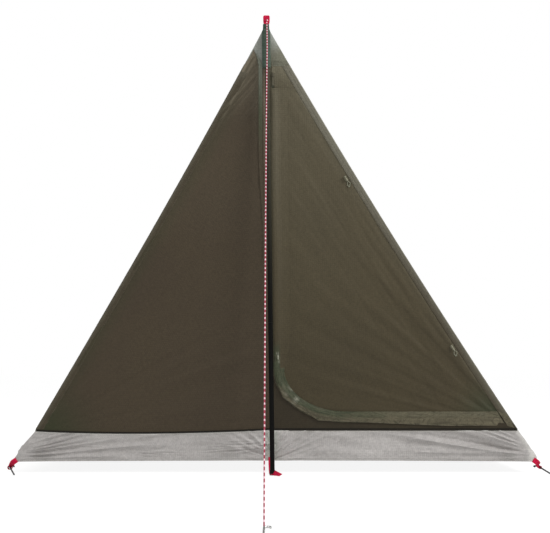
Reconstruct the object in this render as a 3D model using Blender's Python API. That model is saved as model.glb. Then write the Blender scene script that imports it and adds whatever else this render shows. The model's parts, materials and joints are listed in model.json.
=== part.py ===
"""One-person pyramid tent with a front pole, modelled piece by piece.

Metres, +Z up. The front faces -Y, and +X is to the right for someone who stands in front.
The origin is the centre of the groundsheet's underside.

Every horizontal cut through the canopy is a rectangle, so one set of functions of height
gives the place of all four walls. The front wall is flat, and carries an L-shaped zip whose
slider, flap and door leaf are worked out from one centre line.
"""

import math

import bmesh
import bpy
from mathutils import Matrix, Vector

# Canopy outline
FLOOR_LENGTH = 2.45
FLOOR_WIDTH = 1.447
HEM_TUCK = 0.002
HEM_HEIGHT = 0.030
PULL_HEIGHT = 0.060
BAND_TOP = 0.120
CROWN_HEIGHT = 1.238
CROWN_WIDTH = 0.022
CROWN_DEPTH = 0.030
CROWN_SHIFT = -0.0254
FRONT_LEAN = 0.090
RIDGE_BOW = 0.014
LEFT_DRAW = 0.012
REAR_BOW = 0.030
CROWN_PATCH_DEPTH = 0.091
WALL_ROWS = 12

# Cloth and clearances
CLOTH = 0.0012
GAP = 0.0003
BINDING_WIDTH = 0.019
FLOOR_MARGIN = 0.420

# Zip, door and storm flap
FLAP_CLEAR_OF_POLE = 0.0015
DOOR_HEAD = 0.067
SILL_HEIGHT = 0.030
BEND_REACH = 0.1935
BEND_RISE = 0.140
BEND_STEPS = 14
TOOTH_WIDTH = 0.0022
TOOTH_HEIGHT = 0.0024
TOOTH_SPACE = 0.0012
TAPE_WIDTH = 0.010
TEETH_INSET = 0.004
FLAP_OUT_UPRIGHT = 0.008
FLAP_OUT_SILL = 0.013
FLAP_IN_UPRIGHT = 0.012
FLAP_IN_SILL = 0.021
FLAP_FLAT = 0.0045
FLAP_CREST = 0.008
FLAP_LIP = 0.0015
FLAP_END_MARGIN = 0.014
FLAP_HEADROOM = 0.0012

# Zip slider and its pull
SLIDER_LENGTH = 0.012
SLIDER_WIDTH = 0.009
SLIDER_PLATE = 0.0014
SLIDER_WEB = 0.0006
SLIDER_PARK = 0.032
ARCH_LENGTH = 0.0088
ARCH_WALL = 0.0012
ARCH_WIDTH = 0.002
ARCH_INSIDE = 0.0026
PULL_THICKNESS = 0.0013
PULL_WIDTH = 0.0064
PULL_LENGTH = 0.028
PULL_SEAT = -0.0015
WINDOW_WIDTH = 0.003
WINDOW_LENGTH = 0.00325
PULL_TAPER = 0.15

# Pole
POLE_RADIUS = 0.0065
POLE_WALL = 0.0010
POLE_FOOT_X = -0.0070
POLE_TOP_X = -0.0232
POLE_BELOW_CROWN = 0.0015
POLE_SECTIONS = 3
POLE_CAP_LENGTH = 0.010
FERRULE_LENGTH = 0.080
FERRULE_WALL = 0.0010
TIP_RADIUS = 0.004
TIP_SHOULDER_RADIUS = 0.0075
TIP_SHOULDER_HEIGHT = 0.010
TIP_SPIGOT = 0.018
TIP_NOSE = 0.7
TIP_NOSE_LENGTH = 0.3
CAP_SHOULDER = 0.6
CAP_END = 0.6
ROUND_SIDES = 20
SHARP_EDGE = 40

# Crown webbing, sleeve and loop
SLEEVE_LENGTH = 0.104
SLEEVE_SIDE = 0.0045
SLEEVE_PLAY = 0.0008
SLEEVE_FACE = 0.0012
SLEEVE_ROOF = 0.0055
SLEEVE_ROOF_SHARE = 0.8
STEM_HALF_WIDTH = 0.0085
STEM_HALF_DEPTH = 0.0055
STEM_START = 0.012
STEM_HEIGHT = 0.026
WEBBING = 0.0018
APEX_LOOP_WIDTH = 0.0185
APEX_LOOP_HEIGHT = 0.039
APEX_LOOP_ROUND = 8

# Corner loops and pegs
LOOP_WEBBING = 0.0013
LOOP_WIDTH = 0.015
LOOP_REACH = 0.0255
LOOP_START_HEIGHT = 0.046
LOOP_TURNS = 14
EYE_HEIGHT = 0.013
PEG_PLAY = 0.0003
PEG_RADIUS = 0.00225
PEG_LENGTH = 0.160
PEG_HOOK_RADIUS = 0.006
PEG_HOOK_RETURN = 0.008
PEG_SEAT = 0.020
PEG_TIP_TAPER = 0.012
PEG_TIP_SHARE = 0.2
PEG_HOOK_STEPS = 8
PEG_TURN_LEFT = 16.5
PEG_TURN_RIGHT = 3.0
GUY_SEAT = 0.010

# Foot strap, eyelet
FOOT_STRAP_WIDTH = 0.015
FOOT_STRAP_TAIL = 0.034
FOOT_STRAP_SEWN = 0.022
FOOT_STRAP_TURN = 8.0
FOOT_STRAP_LANDING = 0.6
FOOT_STRAP_STEPS = 4
EYELET_RADIUS = 0.0085
EYELET_HEIGHT = 0.0022
EYELET_PLAY = 0.0007
EYELET_ROUND = 0.3

# Toggles
TOGGLE_HEIGHTS = {"upper": 0.825, "lower": 0.350}
TOGGLE_FROM_EDGE = 0.009
TOGGLE_RADIUS = 0.00275
TOGGLE_LENGTH = 0.018
TOGGLE_END = 0.6
TOGGLE_ROUNDING = 0.8
TOGGLE_WAIST = 0.72
TOGGLE_WAIST_REACH = 0.25
TOGGLE_SIDES = 14
TAB_WIDTH = 0.010
TAB_LENGTH = 0.016
TOGGLE_LOOP_RADIUS = 0.0075
TOGGLE_LOOP_CORD = 0.0009
TOGGLE_LOOP_STEPS = 18
TOGGLE_LOOP_SIDES = 6
RIDGE_STEP = 0.01

# Guy cord
CORD_RADIUS = 0.0015
KNOT_RADIUS = 0.0040
KNOT_HEIGHT = 0.034
KNOT_SHIFT = 0.0022
KNOT_SEGMENTS = 14
KNOT_RINGS = 9
CORD_STEPS = 60
CORD_ROUTE = [
    (-0.0217, -1.4000, 1.1815),
    (-0.0219, -1.5165, 1.0530),
    (-0.0221, -1.6143, 0.9455),
    (-0.0221, -1.7228, 0.8270),
    (-0.0220, -1.8542, 0.6840),
    (-0.0219, -1.9323, 0.5995),
    (-0.0215, -2.0846, 0.4350),
    (-0.0212, -2.1900, 0.3220),
    (-0.0208, -2.3013, 0.2030),
    (-0.0206, -2.3533, 0.1475),
    (-0.0203, -2.4475, 0.0475),
    (-0.0201, -2.4870, 0.0058),
]

# Places worked out from the driving dimensions
FRONT_Y = -FLOOR_LENGTH / 2
REAR_Y = FLOOR_LENGTH / 2
CROWN_BOTTOM = CROWN_HEIGHT - CROWN_PATCH_DEPTH
POLE_TOP = CROWN_HEIGHT - POLE_BELOW_CROWN
DOOR_TOP = CROWN_BOTTOM - DOOR_HEAD
ZIP_SILL = BAND_TOP + SILL_HEIGHT
ZIP_BEND = ZIP_SILL + BEND_RISE
TOOTH_OUTER = TOOTH_SPACE / 2 + TOOTH_WIDTH
TAPE_START = TOOTH_OUTER + GAP
TAPE_END = TAPE_START + TAPE_WIDTH
PANEL_OFFSET = TAPE_END + GAP
SIDE_SLOPE = (FLOOR_WIDTH - CROWN_WIDTH) / 2 / (CROWN_HEIGHT - PULL_HEIGHT)
FRONT_SLOPE = FRONT_LEAN / (CROWN_HEIGHT - HEM_HEIGHT)
REAR_SLOPE = (FLOOR_LENGTH + FRONT_LEAN - CROWN_DEPTH) / (CROWN_HEIGHT - PULL_HEIGHT)
SIDE_RUN = math.hypot(1, SIDE_SLOPE)
FRONT_RUN = math.hypot(1, FRONT_SLOPE)
REAR_RUN = math.hypot(1, REAR_SLOPE)
FRONT_OUT = Vector((0, -1, -FRONT_SLOPE)).normalized()
TOOTH_LIFT = (TOOTH_HEIGHT - CLOTH) / 2
PLATE_UNDER = TOOTH_LIFT + GAP
ARCH_TOP = PLATE_UNDER + SLIDER_PLATE + ARCH_INSIDE + ARCH_WALL
FLAP_INSIDE = ARCH_TOP + FLAP_HEADROOM

COLOURS = {
    "dark_cloth": ((0.074, 0.058, 0.036, 1), 0.85, 0.0),
    "light_cloth": ((0.21, 0.215, 0.17, 1), 0.85, 0.0),
    "band_cloth": ((0.31, 0.29, 0.27, 1), 0.80, 0.0),
    "teal_webbing": ((0.035, 0.062, 0.048, 1), 0.85, 0.0),
    "red_webbing": ((0.60, 0.012, 0.055, 1), 0.80, 0.0),
    "zip_tape": ((0.045, 0.042, 0.030, 1), 0.85, 0.0),
    "zip_metal": ((0.30, 0.30, 0.29, 1), 0.40, 0.9),
    "pole_steel": ((0.012, 0.014, 0.012, 1), 0.45, 0.3),
    "bare_steel": ((0.42, 0.42, 0.41, 1), 0.35, 1.0),
    "toggle_plastic": ((0.30, 0.33, 0.27, 1), 0.55, 0.0),
    "guy_cord": ((0.62, 0.25, 0.30, 1), 0.80, 0.0),
}


def clear_scene():
    for item in list(bpy.data.objects):
        bpy.data.objects.remove(item, do_unlink=True)


def material(name):
    colour, roughness, metallic = COLOURS[name]
    made = bpy.data.materials.get(name)
    if made is None:
        made = bpy.data.materials.new(name)
        made.use_nodes = True
        shader = made.node_tree.nodes["Principled BSDF"]
        shader.inputs["Base Color"].default_value = colour
        shader.inputs["Roughness"].default_value = roughness
        shader.inputs["Metallic"].default_value = metallic
    return made


def own_material(node, finish):
    """Each piece has its own material, in the finish of its kind."""
    made = material(finish).copy()
    made.name = node + "_finish"
    return made


def add_piece(name, form, finish, origin=(0, 0, 0), smooth=False):
    """Turn a bmesh in tent coordinates into an object whose origin is at the given place."""
    origin = Vector(origin)
    bmesh.ops.remove_doubles(form, verts=form.verts, dist=1e-7)
    bmesh.ops.recalc_face_normals(form, faces=form.faces)
    bmesh.ops.translate(form, verts=form.verts, vec=-origin)
    mesh = bpy.data.meshes.new(name)
    form.to_mesh(mesh)
    form.free()
    piece = bpy.data.objects.new(name, mesh)
    piece.location = origin
    piece.data.materials.append(own_material(name, finish))
    bpy.context.collection.objects.link(piece)
    if smooth:
        mesh.shade_smooth()
        mesh.set_sharp_from_angle(angle=math.radians(SHARP_EDGE))
    return piece


def empty_at(name, place):
    holder = bpy.data.objects.new(name, None)
    holder.location = place
    bpy.context.collection.objects.link(holder)
    return holder


def hang_on(holder, pieces):
    """Parent pieces to an empty on their joint's axis, and leave them where they are."""
    bpy.context.view_layer.update()
    for piece in pieces:
        piece.parent = holder
        piece.matrix_parent_inverse = holder.matrix_world.inverted()


def loft(rings, ring_closed=False):
    """Skin rings of equally many points. A closed row of rings makes a tube with open ends."""
    form = bmesh.new()
    rows = [[form.verts.new(point) for point in ring] for ring in rings]
    count = len(rows[0])
    pairs = list(zip(rows, rows[1:]))
    if ring_closed:
        pairs.append((rows[-1], rows[0]))
    for low, high in pairs:
        for i in range(count):
            j = (i + 1) % count
            form.faces.new((low[i], low[j], high[j], high[i]))
    if not ring_closed:
        form.faces.new(rows[0])
        form.faces.new(rows[-1])
    return form


def turned(profile, foot, axis, sides=ROUND_SIDES, hollow=False):
    """Turn a list of (radius, distance) round an axis through the foot point."""
    axis = Vector(axis).normalized()
    away = Vector((1, 0, 0)) if abs(axis.y) > 0.9 else Vector((0, 1, 0))
    beside = axis.cross(away).normalized()
    across = beside.cross(axis)
    rings = []
    for radius, distance in profile:
        centre = Vector(foot) + axis * distance
        ring = []
        for i in range(sides):
            turn = 2 * math.pi * i / sides
            ring.append(centre + radius * (across * math.cos(turn) + beside * math.sin(turn)))
        rings.append(ring)
    return loft(rings, ring_closed=hollow)


def between(low, high, count):
    return [low + (high - low) * i / count for i in range(count + 1)]


def rise(z):
    """0 at the height where the corner loops pull, 1 at the crown."""
    return (z - PULL_HEIGHT) / (CROWN_HEIGHT - PULL_HEIGHT)


def centre_x(z):
    return CROWN_SHIFT * max(rise(z), 0)


def half_width(z):
    t = rise(z)
    if t < 0:
        tuck = HEM_TUCK * (PULL_HEIGHT - z) / (PULL_HEIGHT - HEM_HEIGHT)
        return FLOOR_WIDTH / 2 - tuck
    straight = FLOOR_WIDTH / 2 + (CROWN_WIDTH - FLOOR_WIDTH) / 2 * t
    return straight - 4 * RIDGE_BOW * t * (1 - t)


def left_draw(z):
    """How far the left ridge is drawn in: most over the band, nothing at the hem's corner."""
    if z >= BAND_TOP:
        return LEFT_DRAW * ((CROWN_HEIGHT - z) / (CROWN_HEIGHT - BAND_TOP)) ** 3
    return LEFT_DRAW * max(z - PULL_HEIGHT, 0) / (BAND_TOP - PULL_HEIGHT)


def left_x(z):
    return centre_x(z) - half_width(z) + left_draw(z)


def right_x(z):
    return centre_x(z) + half_width(z)


def front_y(z):
    return FRONT_Y - FRONT_SLOPE * (z - HEM_HEIGHT)


def rear_y(z):
    t = rise(z)
    if t < 0:
        return REAR_Y - HEM_TUCK * (PULL_HEIGHT - z) / (PULL_HEIGHT - HEM_HEIGHT)
    crown_rear = front_y(CROWN_HEIGHT) + CROWN_DEPTH
    return REAR_Y + (crown_rear - REAR_Y) * t - 4 * REAR_BOW * t * (1 - t)


def side_inset(z, thickness=CLOTH):
    return thickness * (SIDE_RUN if z >= PULL_HEIGHT else 1)


def rear_inset(z, thickness=CLOTH):
    return thickness * (REAR_RUN if z >= PULL_HEIGHT else 1)


def front_inset(thickness=CLOTH):
    return thickness * FRONT_RUN


def binding_on_front():
    return BINDING_WIDTH * SIDE_RUN


def binding_on_side(rear):
    return BINDING_WIDTH * (REAR_RUN if rear else FRONT_RUN)


def door_edge_x(z):
    """The door leaf's hinge side, beside the binding of the front right ridge."""
    return right_x(z) - binding_on_front() - GAP


def front_row(z, left, right):
    """A strip of the front wall at one height: outside left and right, inside right and left."""
    y = front_y(z)
    inside = y + front_inset()
    return [Vector((left, y, z)), Vector((right, y, z)), Vector((right, inside, z)), Vector((left, inside, z))]


def side_row(z, side, front, rear):
    """The same for a side wall. side is -1 on the left and 1 on the right."""
    x = right_x(z) if side > 0 else left_x(z)
    inside = x - side * side_inset(z)
    return [Vector((x, front, z)), Vector((x, rear, z)), Vector((inside, rear, z)), Vector((inside, front, z))]


def rear_row(z, left, right):
    y = rear_y(z)
    inside = y - rear_inset(z)
    return [Vector((left, y, z)), Vector((right, y, z)), Vector((right, inside, z)), Vector((left, inside, z))]


def wall_heights():
    return between(BAND_TOP + GAP, CROWN_BOTTOM - GAP, WALL_ROWS)


def band_heights():
    return [HEM_HEIGHT, PULL_HEIGHT, (PULL_HEIGHT + BAND_TOP) / 2, BAND_TOP]


def pole_x(z):
    return POLE_FOOT_X + (POLE_TOP_X - POLE_FOOT_X) * z / POLE_TOP


def pole_y():
    """The pole stands upright, just clear of the wall at the crown."""
    return front_y(CROWN_HEIGHT) - GAP - SLEEVE_FACE - SLEEVE_PLAY - POLE_RADIUS


def pole_axis():
    return Vector((POLE_TOP_X - POLE_FOOT_X, 0, POLE_TOP)).normalized()


def pole_point(z):
    return Vector((pole_x(z), pole_y(), z))


def zip_x(z):
    """Centre line of the zip's upright stretch. The flap over it just clears the pole."""
    return pole_x(max(z, ZIP_BEND)) + POLE_RADIUS + FLAP_CLEAR_OF_POLE + FLAP_OUT_UPRIGHT


def zip_end_x():
    return door_edge_x(ZIP_SILL + TAPE_END) - GAP


def zip_line(top):
    """Points (x, z) down the zip, round its bend and along the sill, with unit normals.

    The normals point to the door's side.
    """
    bend_x = zip_x(ZIP_BEND) + BEND_REACH
    points = [(zip_x(top), top)]
    for i in range(BEND_STEPS + 1):
        turn = math.pi / 2 * i / BEND_STEPS
        points.append((bend_x - BEND_REACH * math.cos(turn), ZIP_BEND - BEND_RISE * math.sin(turn)))
    points.append((zip_end_x(), ZIP_SILL))
    line = []
    for i, (x, z) in enumerate(points):
        before = points[max(i - 1, 0)]
        after = points[min(i + 1, len(points) - 1)]
        if i == 1:
            before = (points[1][0], points[1][1] + BEND_RISE)
        if i == len(points) - 2:
            after = (points[i][0] + BEND_REACH, points[i][1])
        run = Vector((after[0] - before[0], after[1] - before[1])).normalized()
        line.append((Vector((x, z)), Vector((-run.y, run.x))))
    return line


def offset_line(top, distance):
    """The zip's line moved sideways in the wall, towards the door when distance is above 0."""
    return [point + normal * distance for point, normal in zip_line(top)]


def sweep_on_front(line, profile_at):
    """Carry a profile of (sideways, outwards) points along a line drawn on the front wall.

    The profile may change from the upright stretch, share 0, to the sill, share 1.
    """
    rings = []
    for i, (point, normal) in enumerate(line):
        ring = []
        share = min(max(i - 1, 0) / BEND_STEPS, 1)
        for sideways, outwards in profile_at(share):
            x, z = point + normal * sideways
            ring.append(Vector((x, front_y(z), z)) + FRONT_OUT * outwards)
        rings.append(ring)
    return loft(rings)


def crossing(line, value, axis):
    """Where a line of (x, z) points meets a given x (axis 0) or z (axis 1)."""
    other = 1 - axis
    for a, b in zip(line, line[1:]):
        low, high = sorted((a[axis], b[axis]))
        if low <= value <= high and high > low:
            share = (value - a[axis]) / (b[axis] - a[axis])
            return a[other] + (b[other] - a[other]) * share
    return line[0][other]


def groundsheet():
    """A shallow tray: flat on the ground, with its border lifted to the band's hem."""
    def rectangle(inset, z):
        x = half_width(HEM_HEIGHT) - side_inset(HEM_HEIGHT) - GAP - inset
        front = front_y(HEM_HEIGHT) + front_inset() + GAP + inset
        rear = rear_y(HEM_HEIGHT) - rear_inset(HEM_HEIGHT) - GAP - inset
        return [Vector((-x, front, z)), Vector((x, front, z)), Vector((x, rear, z)), Vector((-x, rear, z))]

    rim = HEM_HEIGHT + CLOTH
    rings = [rectangle(FLOOR_MARGIN, 0), rectangle(0, HEM_HEIGHT), rectangle(0, rim),
             rectangle(FLOOR_MARGIN, CLOTH)]
    return add_piece("groundsheet", loft(rings), "band_cloth")


def bands():
    """The pale wall round the foot of the tent, mitred at its four corners."""
    def ends(z, gap_front):
        return left_x(z) + gap_front, right_x(z) - gap_front

    front_rings = []
    rear_rings = []
    side_rings = {-1: [], 1: []}
    for z in band_heights():
        left, right = ends(z, GAP)
        inset = side_inset(z)
        ring = front_row(z, left, right)
        ring[2].x -= inset
        ring[3].x += inset
        front_rings.append(ring)
        ring = rear_row(z, left, right)
        ring[2].x -= inset
        ring[3].x += inset
        rear_rings.append(ring)
        for side in side_rings:
            ring = side_row(z, side, front_y(z) + GAP, rear_y(z) - GAP)
            ring[2].y -= rear_inset(z)
            ring[3].y += front_inset()
            side_rings[side].append(ring)
    add_piece("band_front", loft(front_rings), "band_cloth")
    add_piece("band_rear", loft(rear_rings), "band_cloth")
    add_piece("band_left", loft(side_rings[-1]), "band_cloth")
    add_piece("band_right", loft(side_rings[1]), "band_cloth")


def side_panels():
    for side, name in ((-1, "side_panel_left"), (1, "side_panel_right")):
        rings = []
        for z in wall_heights():
            front = front_y(z) + binding_on_side(False) + GAP
            rear = rear_y(z) - binding_on_side(True) - GAP
            rings.append(side_row(z, side, front, rear))
        add_piece(name, loft(rings), "dark_cloth")


def rear_panel():
    margin = binding_on_front() + GAP
    rings = [rear_row(z, left_x(z) + margin, right_x(z) - margin) for z in wall_heights()]
    return add_piece("rear_panel", loft(rings), "dark_cloth")


def ridge_bindings():
    """An angle of folded tape over each ridge, from the band to the crown patch."""
    for side, side_name in ((-1, "left"), (1, "right")):
        for rear in (False, True):
            rings = []
            for z in wall_heights():
                x = right_x(z) if side > 0 else left_x(z)
                y = rear_y(z) if rear else front_y(z)
                inward = -1 if rear else 1
                depth = rear_inset(z) if rear else front_inset()
                inside_x = x - side * side_inset(z)
                inside_y = y + inward * depth
                face_end = x - side * binding_on_front()
                side_end = y + inward * binding_on_side(rear)
                rings.append([
                    Vector((face_end, y, z)),
                    Vector((x, y, z)),
                    Vector((x, side_end, z)),
                    Vector((inside_x, side_end, z)),
                    Vector((inside_x, inside_y, z)),
                    Vector((face_end, inside_y, z)),
                ])
            end = "rear" if rear else "front"
            add_piece("ridge_binding_%s_%s" % (end, side_name), loft(rings), "dark_cloth")


def front_left_panel():
    """The fixed half of the front, from the left ridge to the zip."""
    rings = []
    heights = sorted(wall_heights() + [ZIP_BEND])
    for z in heights:
        left = left_x(z) + binding_on_front() + GAP
        rings.append(front_row(z, left, zip_x(z) - PANEL_OFFSET))
    return add_piece("front_left_panel", loft(rings), "dark_cloth")


def door_sill():
    """The strip of front wall that stays below the door, with its corner following the bend."""
    bottom = BAND_TOP + GAP
    line = offset_line(ZIP_BEND, -PANEL_OFFSET)
    first_x = zip_x(ZIP_BEND) - PANEL_OFFSET + GAP
    columns = [(first_x, first_x, crossing(line[1:], first_x, 0))]
    for x, z in line[2:-1]:
        columns.append((x, x, z))
    top = line[-1][1]
    columns.append((door_edge_x(bottom), door_edge_x(top), top))
    rings = []
    for low_x, high_x, high_z in columns:
        ring = []
        for inside in (0, front_inset()):
            ring.append(Vector((low_x, front_y(bottom) + inside, bottom)))
            ring.append(Vector((high_x, front_y(high_z) + inside, high_z)))
        rings.append([ring[0], ring[1], ring[3], ring[2]])
    return add_piece("door_sill", loft(rings), "dark_cloth")


def door_head():
    """The small fixed piece above the door, beside the zip's top end."""
    rings = []
    for z in between(DOOR_TOP + GAP, CROWN_BOTTOM - GAP, 2):
        rings.append(front_row(z, zip_x(z) + TAPE_START, door_edge_x(z)))
    return add_piece("door_head", loft(rings), "dark_cloth")


def crown_patch():
    """The pale four-sided cap at the peak, open below and round the crown webbing."""
    outer = []
    inner = []
    for z in between(CROWN_BOTTOM, CROWN_HEIGHT, 3):
        left, right = left_x(z), right_x(z)
        front, rear = front_y(z), rear_y(z)
        x_in = side_inset(z)
        outer.append([Vector((left, front, z)), Vector((right, front, z)),
                      Vector((right, rear, z)), Vector((left, rear, z))])
        front += front_inset()
        rear -= rear_inset(z)
        inner.append([Vector((left + x_in, front, z)), Vector((right - x_in, front, z)),
                      Vector((right - x_in, rear, z)), Vector((left + x_in, rear, z))])
    return add_piece("crown_patch", loft(outer + inner[::-1], ring_closed=True), "light_cloth")


def crown_centre():
    return Vector((CROWN_SHIFT, front_y(CROWN_HEIGHT) + CROWN_DEPTH / 2, CROWN_HEIGHT))


def crown_webbing():
    """Folded webbing that gathers the four walls and stands up inside the apex loop."""
    centre = crown_centre()
    steps = [
        (GAP, CROWN_WIDTH / 2, CROWN_DEPTH / 2),
        (STEM_START, STEM_HALF_WIDTH, STEM_HALF_DEPTH),
        (STEM_HEIGHT, STEM_HALF_WIDTH, STEM_HALF_DEPTH),
    ]
    rings = []
    for up, x, y in steps:
        z = Vector((0, 0, up))
        corners = ((-1, -1), (1, -1), (1, 1), (-1, 1))
        rings.append([centre + z + Vector((sx * x, sy * y, 0)) for sx, sy in corners])
    return add_piece("crown_webbing", loft(rings), "teal_webbing", centre)


def strip_rings(path, across, width, thickness):
    """Cuts through flat webbing that follows a path square to its width."""
    across = Vector(across).normalized()
    rings = []
    for i, point in enumerate(path):
        run_in = (point - path[max(i - 1, 0)]).normalized() if i else None
        run_out = (path[i + 1] - point).normalized() if i + 1 < len(path) else None
        run = (run_in or run_out) + (run_out or run_in)
        run.normalize()
        face = across.cross(run).normalized()
        half_turn = (run_in or run).dot(run)
        half = thickness / 2 / max(half_turn, 0.5)
        side = across * width / 2
        rings.append([point - side - face * half, point + side - face * half,
                      point + side + face * half, point - side + face * half])
    return rings


def apex_loop():
    """The loop of webbing on top: it runs up the stem's front, over, and down its back."""
    centre = crown_centre()
    radius = STEM_HALF_DEPTH + GAP + WEBBING / 2
    leg_low = centre.z + STEM_START + GAP
    round_z = centre.z + STEM_START + APEX_LOOP_HEIGHT - radius - WEBBING / 2
    path = [Vector((centre.x, centre.y - radius, leg_low))]
    for i in range(APEX_LOOP_ROUND + 1):
        turn = math.pi * (1 - i / APEX_LOOP_ROUND)
        path.append(Vector((centre.x, centre.y + radius * math.cos(turn), round_z + radius * math.sin(turn))))
    path.append(Vector((centre.x, centre.y + radius, leg_low)))
    form = loft(strip_rings(path, (1, 0, 0), APEX_LOOP_WIDTH, WEBBING))
    return add_piece("apex_loop", form, "red_webbing", (centre.x, centre.y, leg_low))


def pole_sleeve():
    """A sock of cloth over the pole's top, wider than deep, closed at its upper end."""
    bore = POLE_RADIUS + SLEEVE_PLAY
    wide = bore + SLEEVE_SIDE
    deep = bore + SLEEVE_FACE
    top = POLE_TOP + GAP
    axis = pole_axis()
    foot = pole_point(top - SLEEVE_LENGTH)
    length = SLEEVE_LENGTH / axis.z
    depth_axis = Vector((0, 1, 0))
    width_axis = depth_axis.cross(axis)

    def ring(x_radius, y_radius, distance):
        made = []
        for i in range(ROUND_SIDES):
            turn = 2 * math.pi * i / ROUND_SIDES
            offset = width_axis * (x_radius * math.cos(turn)) + depth_axis * (y_radius * math.sin(turn))
            made.append(foot + axis * distance + offset)
        return made

    rings = [ring(bore, bore, length), ring(bore, bore, 0), ring(wide, deep, 0), ring(wide, deep, length),
             ring(wide * SLEEVE_ROOF_SHARE, deep * SLEEVE_ROOF_SHARE, length + SLEEVE_ROOF)]
    return add_piece("pole_sleeve", loft(rings), "teal_webbing", foot, smooth=True)


def eyelet_floor():
    return WEBBING + GAP


def tip_shoulder_bottom():
    return eyelet_floor() + EYELET_HEIGHT + GAP


def pole():
    """Sectional steel pole: plastic foot, tubes joined by inner ferrules, and a top cap."""
    axis = pole_axis()
    bore = POLE_RADIUS - POLE_WALL
    shoulder = tip_shoulder_bottom()
    shoulder_top = shoulder + TIP_SHOULDER_HEIGHT
    tip = [(TIP_RADIUS * TIP_NOSE, 0), (TIP_RADIUS, TIP_RADIUS * TIP_NOSE_LENGTH), (TIP_RADIUS, shoulder),
           (TIP_SHOULDER_RADIUS, shoulder), (TIP_SHOULDER_RADIUS, shoulder_top),
           (bore - GAP, shoulder_top), (bore - GAP, shoulder_top + TIP_SPIGOT)]
    rings = []
    for radius, z in tip:
        ring = []
        for i in range(ROUND_SIDES):
            turn = 2 * math.pi * i / ROUND_SIDES
            ring.append(pole_point(z) + Vector((radius * math.sin(turn), -radius * math.cos(turn), 0)))
        rings.append(ring)
    add_piece("pole_tip", loft(rings), "pole_steel", pole_point(0), smooth=True)

    tubes_low = shoulder_top + GAP
    tubes_high = POLE_TOP - POLE_CAP_LENGTH - GAP
    length = (tubes_high - tubes_low) / POLE_SECTIONS
    names = ["pole_section_lower", "pole_section_middle", "pole_section_upper"]
    for i, name in enumerate(names[:POLE_SECTIONS]):
        low = tubes_low + length * i
        tube_length = (length - GAP) / axis.z
        profile = [(POLE_RADIUS, 0), (POLE_RADIUS, tube_length), (bore, tube_length), (bore, 0)]
        form = turned(profile, pole_point(low), axis, hollow=True)
        add_piece(name, form, "pole_steel", pole_point(low), smooth=True)

    ferrule_outer = bore - GAP
    ferrule_inner = ferrule_outer - FERRULE_WALL
    for i, name in enumerate(["pole_ferrule_lower", "pole_ferrule_upper"][:POLE_SECTIONS - 1]):
        low = tubes_low + length * (i + 1) - GAP / 2 - FERRULE_LENGTH / 2
        profile = [(ferrule_outer, 0), (ferrule_outer, FERRULE_LENGTH), (ferrule_inner, FERRULE_LENGTH),
                   (ferrule_inner, 0)]
        form = turned(profile, pole_point(low), axis, hollow=True)
        add_piece(name, form, "bare_steel", pole_point(low), smooth=True)

    cap_low = tubes_high
    cap = [(bore - GAP, -TIP_SPIGOT), (bore - GAP, 0), (POLE_RADIUS, GAP),
           (POLE_RADIUS, POLE_CAP_LENGTH * CAP_SHOULDER), (POLE_RADIUS * CAP_END, POLE_CAP_LENGTH)]
    form = turned(cap, pole_point(cap_low), axis)
    add_piece("pole_cap", form, "pole_steel", pole_point(cap_low), smooth=True)


def foot_strap():
    """Webbing from the front hem to the pole's foot, with a hole that takes the pole's tip."""
    foot = pole_point(0)
    turn = math.radians(FOOT_STRAP_TURN)
    forward = Vector((math.sin(turn), -math.cos(turn), 0))
    across = Vector((math.cos(turn), math.sin(turn), 0))
    half = WEBBING / 2
    reach = (FRONT_Y - foot.y) / math.cos(turn)

    def at(distance, z):
        """distance runs forward from the hem, along the strap."""
        place = foot + forward * (distance - reach)
        return Vector((place.x, place.y, z))

    sewn_top = HEM_HEIGHT + FOOT_STRAP_SEWN
    stand_off = half + GAP + FOOT_STRAP_WIDTH / 2 * math.sin(turn)
    path = [at(stand_off + FRONT_SLOPE * FOOT_STRAP_SEWN, sewn_top)]
    landing = reach * FOOT_STRAP_LANDING
    for i in range(FOOT_STRAP_STEPS + 1):
        share = i / FOOT_STRAP_STEPS
        distance = stand_off + (landing - stand_off) * share
        path.append(at(distance, half + (HEM_HEIGHT - half) * (1 - share) ** 2))
    path += [at(reach, half), at(reach + FOOT_STRAP_TAIL, half)]
    rings = strip_rings(path, across, FOOT_STRAP_WIDTH, WEBBING)
    strap = add_piece("foot_strap", loft(rings), "red_webbing", foot)
    hole_radius = TIP_RADIUS + EYELET_PLAY
    drill = turned([(hole_radius, -WEBBING), (hole_radius, WEBBING * 2)], foot, (0, 0, 1))
    cutter = add_piece("foot_strap_hole", drill, "bare_steel", foot)
    cutter.hide_render = True
    cutter.display_type = "WIRE"
    cut = strap.modifiers.new("tip_hole", "BOOLEAN")
    cut.operation = "DIFFERENCE"
    cut.solver = "EXACT"
    cut.object = cutter


def foot_eyelet():
    """A metal ring on the strap, with rounded edges."""
    foot = pole_point(0)
    inner = TIP_RADIUS + EYELET_PLAY
    low = eyelet_floor()
    round_edge = EYELET_HEIGHT * EYELET_ROUND
    high = low + EYELET_HEIGHT
    profile = [(inner, low), (EYELET_RADIUS - round_edge, low), (EYELET_RADIUS, low + round_edge),
               (EYELET_RADIUS, high - round_edge), (EYELET_RADIUS - round_edge, high), (inner, high)]
    form = turned(profile, foot, (0, 0, 1), hollow=True)
    return add_piece("foot_eyelet", form, "bare_steel", foot, smooth=True)


def corner_places():
    """Name, side, front or rear, and the place of each corner loop's eye."""
    places = []
    for rear, end in ((False, "front"), (True, "rear")):
        for side, side_name in ((-1, "left"), (1, "right")):
            x = side * (FLOOR_WIDTH / 2 + LOOP_REACH)
            y = rear_y(EYE_HEIGHT) - LOOP_WIDTH if rear else front_y(EYE_HEIGHT) + LOOP_WIDTH
            places.append(("%s_%s" % (end, side_name), side, rear, Vector((x, y, EYE_HEIGHT))))
    return places


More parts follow.
